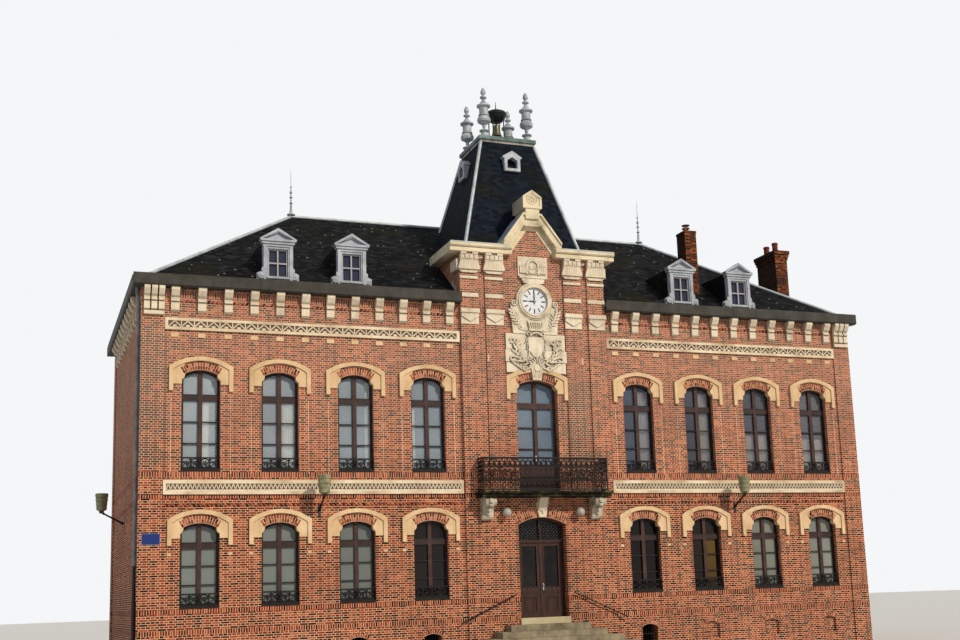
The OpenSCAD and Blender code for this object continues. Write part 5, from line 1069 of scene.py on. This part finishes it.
# The top of the tower: a platform of moulded sheet, with the bell of cast bronze under its domed cap and four
# turned finials, which are screwed down at its corners.
platform_lip_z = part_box("tower_platform")[1][2] - 0.135
platform_sheet = stained("tower_platform_sheet", [(0.35, "#6d6961"), (0.5, "#8f8a80"), (0.7, "#b0aca2")],
    {"Scale": 2.4, "Detail": 6.0}, 0.55, 0.15, above=[(0.35, "#40534f"), (0.5, "#5d736e"), (0.7, "#82948d")],
    limit=platform_lip_z)
dress(platform_sheet, "tower_platform")
dress(weathered("dark_canopy_sheet", ["#0c100f", "#161c19", "#242b27"], 3.0, 0.5, 0.001, shine=0.2),
    "bell_canopy")
dress(weathered("aged_bell_bronze", ["#2c2a1e", "#4f4a33", "#5f6a52"], 5.0, 0.4, 0.001, metal=0.8), "bell")

# The balcony: a slab of hard stone, black with damp and moss at its edge, on two consoles of pale limestone. A
# roll moulding runs round the slab, and small leaves are carved on the consoles.
consoles_top = 5.278
slab_stone = stained("mossy_slab_stone", [(0.3, "#77705f"), (0.5, "#b5ab96"), (0.75, "#dbd2bd")],
    {"Scale": 2.6, "Detail": 7.0, "Roughness": 0.65}, 0.88, 0.12, 0.006,
    above=[(0.35, "#0d0c0a"), (0.5, "#1e1b15"), (0.6, "#3c3f1f"), (0.72, "#6a6645")], limit=consoles_top)
dress(slab_stone, "balcony_slab")
balcony_half = 2.31
balcony_out = pavilion_proud + 0.64
balcony_z = 5.45
shape = bmesh.new()
roll_z = balcony_z - 0.045
rod(shape, (0, balcony_out + 0.002, roll_z), "X", 0.028, 2 * balcony_half)
for s in (-1, 1):
    rod(shape, (s * balcony_half, (balcony_out + pavilion_proud) / 2, roll_z), "Y", 0.028,
        balcony_out - pavilion_proud)
    boss(shape, (s * balcony_half, balcony_out, roll_z), (0.032, 0.032, 0.032), rounds=2)
keep(shape, "balcony_edge_roll", slab_stone)
shape = bmesh.new()
for s in (-1, 1):
    for out, z in ((0.545, 5.16), (0.50, 5.05), (0.30, 4.90), (0.20, 4.78)):
        place = at((s * 1.95, pavilion_proud + out - 0.01, z)) @ Matrix.Rotation(-0.5, 4, "X")
        bmesh.ops.create_icosphere(shape, subdivisions=2, radius=1,
            matrix=place @ Matrix.Diagonal((0.09, 0.035, 0.10, 1)))
keep(shape, "console_leaves", slab_stone)

# The handle of the balcony doors: a knob of white porcelain on a short stem, with its plate screwed to the meeting
# stile.
shape = bmesh.new()
handle_x = -0.03
handle_out = -0.16
ball(shape, (handle_x, handle_out + 0.045, 6.62), 0.030, 14, 10)
rod(shape, (handle_x, handle_out + 0.024, 6.62), "Y", 0.012, 0.05)
block(shape, (handle_x, handle_out + 0.003, 6.60), (0.04, 0.008, 0.20))
porcelain = weathered("white_porcelain", ["#d8d4c8", "#e6e3da"], 6.0, 0.2, 0.0003)
keep(shape, "balcony_door_knob", porcelain)

# The keystones: wedges of limestone at the crown of the two middle arches. The entrance's is carved with a leaf
# between two curls under the balcony, and the balcony door's is fluted.
shape = bmesh.new()
key_out = pavilion_proud + 0.090
rim(shape, (0.085, key_out + 0.010, 5.00), 0.045, 0.016, -90, 300)
leaf(shape, (0.045, key_out + 0.010, 4.86), 0.45, 0.09, 0.026, 0.022)
rim(shape, (0.16, pavilion_proud + 0.20, 5.10), 0.030, 0.012)
for i in range(3):
    block(shape, (0.04 + 0.065 * i, pavilion_proud + 0.116, 9.42 + 0.02 * i), (0.030, 0.016, 0.28), 0.10 * i)
mirrored(shape)
leaf(shape, (0.0, key_out + 0.014, 4.84), 0.0, 0.12, 0.03, 0.026)
keep(shape, "keystone_carving", limestone)

# The entrance: an oak frame and two leaves under brown varnish, gone dark. Beads run round the glass and the
# panels, an iron lattice stands behind each fanlight, and studs and handles are polished steel.
door_wood, tree, shader, place = surface("brown_varnished_oak")
fibre = add(tree, "Mapping", {"Vector": place, "Scale": (38.0, 38.0, 1.6)})
fibre = add(tree, "TexNoise", {"Vector": fibre, "Scale": 1.0, "Detail": 4.0})
tone = add(tree, "ValToRGB", {"Fac": fibre}, stops=[(0.3, "#1a0c07"), (0.5, "#31180c"), (0.7, "#4a2814")])
coat(shader, tone, 0.42, 0.3, relief=fibre, strength=0.3, depth=0.001)
dress(door_wood, "door_frame", "door_leaf_left", "door_leaf_right")
# The door's glass is nearly opaque and near black: painted shade of the unlit hall behind it.
door_glass = stained("dark_door_glass", [(0.35, "#0d0c0a"), (0.7, "#241f1a")], {"Scale": 1.6, "Detail": 3.0},
    0.06, 0.2, others={"Alpha": 0.9})
dress(door_glass, "left_leaf_glass", "right_leaf_glass")
leaf_front = -0.235
leaf_stile = 0.135
leaf_inner = 0.0025
leaf_outer = 0.775
leaf_low = 1.405
leaf_high = 3.805
pane_low = leaf_low + 0.98
pane_high = leaf_high - 0.10
polished = weathered("polished_steel", ["#8d8f90", "#c2c4c5"], 8.0, 0.25, 0.0005, metal=1.0)


def bead(shape, low_x, high_x, low, high, out, thick):
    """Frames a rectangle on the street side with a thin moulding of four rods."""
    middle_x, middle_z = (low_x + high_x) / 2, (low + high) / 2
    for z in (low, high):
        block(shape, (middle_x, out, z), (high_x - low_x + thick, thick, thick))
    for x in (low_x, high_x):
        block(shape, (x, out, middle_z), (thick, thick, high - low))


for name, s in (("left_leaf", -1), ("right_leaf", 1)):
    shape = bmesh.new()
    in_x, out_x = leaf_inner + leaf_stile, leaf_outer - leaf_stile
    bead(shape, in_x - 0.012, out_x + 0.012, pane_low - 0.012, pane_high + 0.012, leaf_front + 0.005, 0.022)
    bead(shape, in_x + 0.040, out_x - 0.040, leaf_low + 0.16, leaf_low + 0.66, leaf_front + 0.005, 0.022)
    bead(shape, in_x + 0.105, out_x - 0.105, leaf_low + 0.225, leaf_low + 0.595, leaf_front - 0.012, 0.014)
    block(shape, ((in_x + out_x) / 2, leaf_front + 0.006, leaf_low + 0.80), (out_x - in_x + 0.05, 0.020, 0.05))
    if s > 0:
        block(shape, (0.0, leaf_front + 0.010, (leaf_low + leaf_high) / 2),
            (0.055, 0.018, leaf_high - leaf_low - 0.02))
    if s < 0:
        bmesh.ops.scale(shape, verts=shape.verts, vec=(-1, 1, 1))
    keep(shape, f"{name}_mouldings", door_wood, name)
    shape = bmesh.new()
    for i in range(4):
        x = in_x + 0.02 + i * (out_x - in_x - 0.04) / 3
        ball(shape, (s * x, leaf_front + 0.004, pane_low - 0.075), 0.013, 12, 8)
    if s > 0:
        ball(shape, (0.085, leaf_front + 0.055, leaf_low + 1.02), 0.028, 14, 10)
        rod(shape, (0.085, leaf_front + 0.028, leaf_low + 1.02), "Y", 0.012, 0.06, tip=0.010)
        block(shape, (0.085, leaf_front + 0.003, leaf_low + 0.98), (0.045, 0.006, 0.22))
    keep(shape, f"{name}_studs", polished, name)

# The lattices in the fanlight: thin flat iron bars at a slant of 45 degrees, riveted where they cross under a
# bright boss.
shape = bmesh.new()
bosses = bmesh.new()
light_low = 3.93
light_high = 4.36
light_in = 0.05
light_out = 0.76
lattice_out = -0.245
lattice_pitch = 0.118
for s in (-1, 1):
    for k in range(-8, 14):
        for slope in (-1, 1):
            # Each bar slants by 45 degrees and is cut to the part of its line that lies in the light.
            near = light_in + k * lattice_pitch
            far = near + light_high - light_low
            left = max(near, light_in)
            right_end = min(far, light_out)
            if right_end - left < 0.05:
                continue
            middle = (left + right_end) / 2
            z = light_low + (middle - near if slope > 0 else far - middle)
            block(shape, (s * middle, lattice_out, z), (0.011, 0.008, sqrt(2) * (right_end - left)),
                s * slope * pi / 4)
    for i in range(13):
        for j in range(8):
            x = light_in + i * lattice_pitch / 2
            z = light_low + j * lattice_pitch / 2
            if (i + j) % 2 == 0 and x < light_out and z < light_high:
                boss(bosses, (s * x, lattice_out + 0.008, z), (0.014, 0.014, 0.014))
keep(shape, "fanlight_lattice", iron)
keep(bosses, "fanlight_bosses", polished)
shape = bmesh.new()
block(shape, (0.0, -0.196, 3.86), (1.56, 0.022, 0.036))
block(shape, (0.0, -0.190, 4.12), (0.045, 0.030, 0.42))
keep(shape, "fanlight_mouldings", door_wood)

# The steps: long blocks of hard grey-brown sandstone, sawn and laid dry, worn on their edges and lichened. The
# threshold above them is a paler stone.
step_stone, tree, shader, place = surface("worn_step_sandstone")
stain = add(tree, "TexNoise", {"Vector": place, "Scale": 1.8, "Detail": 7.0, "Roughness": 0.65})
colour = add(tree, "ValToRGB", {"Fac": stain}, stops=[(0.3, "#544c3d"), (0.45, "#7a6f59"), (0.6, "#94886c"),
    (0.75, "#b0a589")])
joints = add(tree, "TexBrick", {"Vector": wall_plane(tree, place), "Scale": 1.0, "Mortar Size": block_joint,
    "Brick Width": 1.15, "Row Height": 0.2}, "Fac", offset=0.4)
colour = add(tree, "Mix RGBA", [joints, colour, "#4b4438"])
coat(shader, colour, 0.88, relief=stain, depth=0.006)
dress(step_stone, "entrance_steps")
dress(weathered("pale_threshold_stone", ["#8f8468", "#b8ab88", "#cabf9f"], 2.0, 0.8, 0.003), "threshold")

# The lamps beside the door: globes of blown milk glass. The street lamps on the wall: a ribbed head of smoked
# plastic on an iron arm.
dress(weathered("milk_glass", ["#8f8a80", "#b9b5ab"], 3.0, 0.12, 0.0005, shine=0.6), "door_lamps")
street_lamp = stained("smoked_lamp_head", [(0.3, "#151413"), (0.7, "#262422")], {"Scale": 6.0, "Detail": 4.0},
    0.3, above=[(0.3, "#6b6a4e"), (0.7, "#9b9772")], limit=5.375)
dress(street_lamp, "wall_lamps")

# The lamp arms: steel tubes, cased in a tapered cast socket with a collar at the wall and one under the head. Two
# stand on the street front and one on the left end wall.
shape = bmesh.new()
lamp_z = 4.94
for foot, way in (((-7.425, front_y, lamp_z), (0, -1, 0)), ((7.425, front_y, lamp_z), (0, -1, 0)),
        ((-half_w, 0, lamp_z), (-1, 0, 0))):
    start = Vector(foot) + Vector(way) * 0.02
    end = Vector(foot) + Vector(way) * 0.70 + Vector((0, 0, 0.365))
    along = end - start
    turn = along.to_track_quat("Z", "Y").to_matrix().to_4x4()
    for share, length, low_r, high_r in ((0.50, along.length, 0.036, 0.026), (0.05, 0.05, 0.052, 0.046),
            (0.12, 0.03, 0.044, 0.040), (0.93, 0.05, 0.036, 0.040)):
        bmesh.ops.create_cone(shape, cap_ends=True, segments=14, radius1=low_r, radius2=high_r, depth=length,
            matrix=Matrix.Translation(start + along * share) @ turn)
keep(shape, "lamp_arm_sockets", iron)

# The rainwater pipes: zinc in lengths with a collar every three metres or so, on a foot of cast iron that takes the
# knocks of the street.
pipe_foot_z = 3.37
pipe_zinc = stained("rainwater_pipe_metal", [(0.3, "#1c1715"), (0.7, "#33291f")], {"Scale": 3.0, "Detail": 5.0},
    0.5, 0.25, above=[(0.3, "#5f6469"), (0.7, "#8b9094")], limit=pipe_foot_z)
dress(pipe_zinc, "downpipes")
pipe_x = 12.875
shape = bmesh.new()
for s in (-1, 1):
    for z in (3.40, 6.4, 9.4, 2.31):
        rod(shape, (s * pipe_x, -0.20, z), "Z", 0.057, 0.05, segments=24)
keep(shape, "pipe_collars", pipe_zinc)

# What the tests read: the box of the construction model and the box of the dressed one.
size = {"cad": [list(corner) for corner in cad_box], "visual": [list(corner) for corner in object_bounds()]}
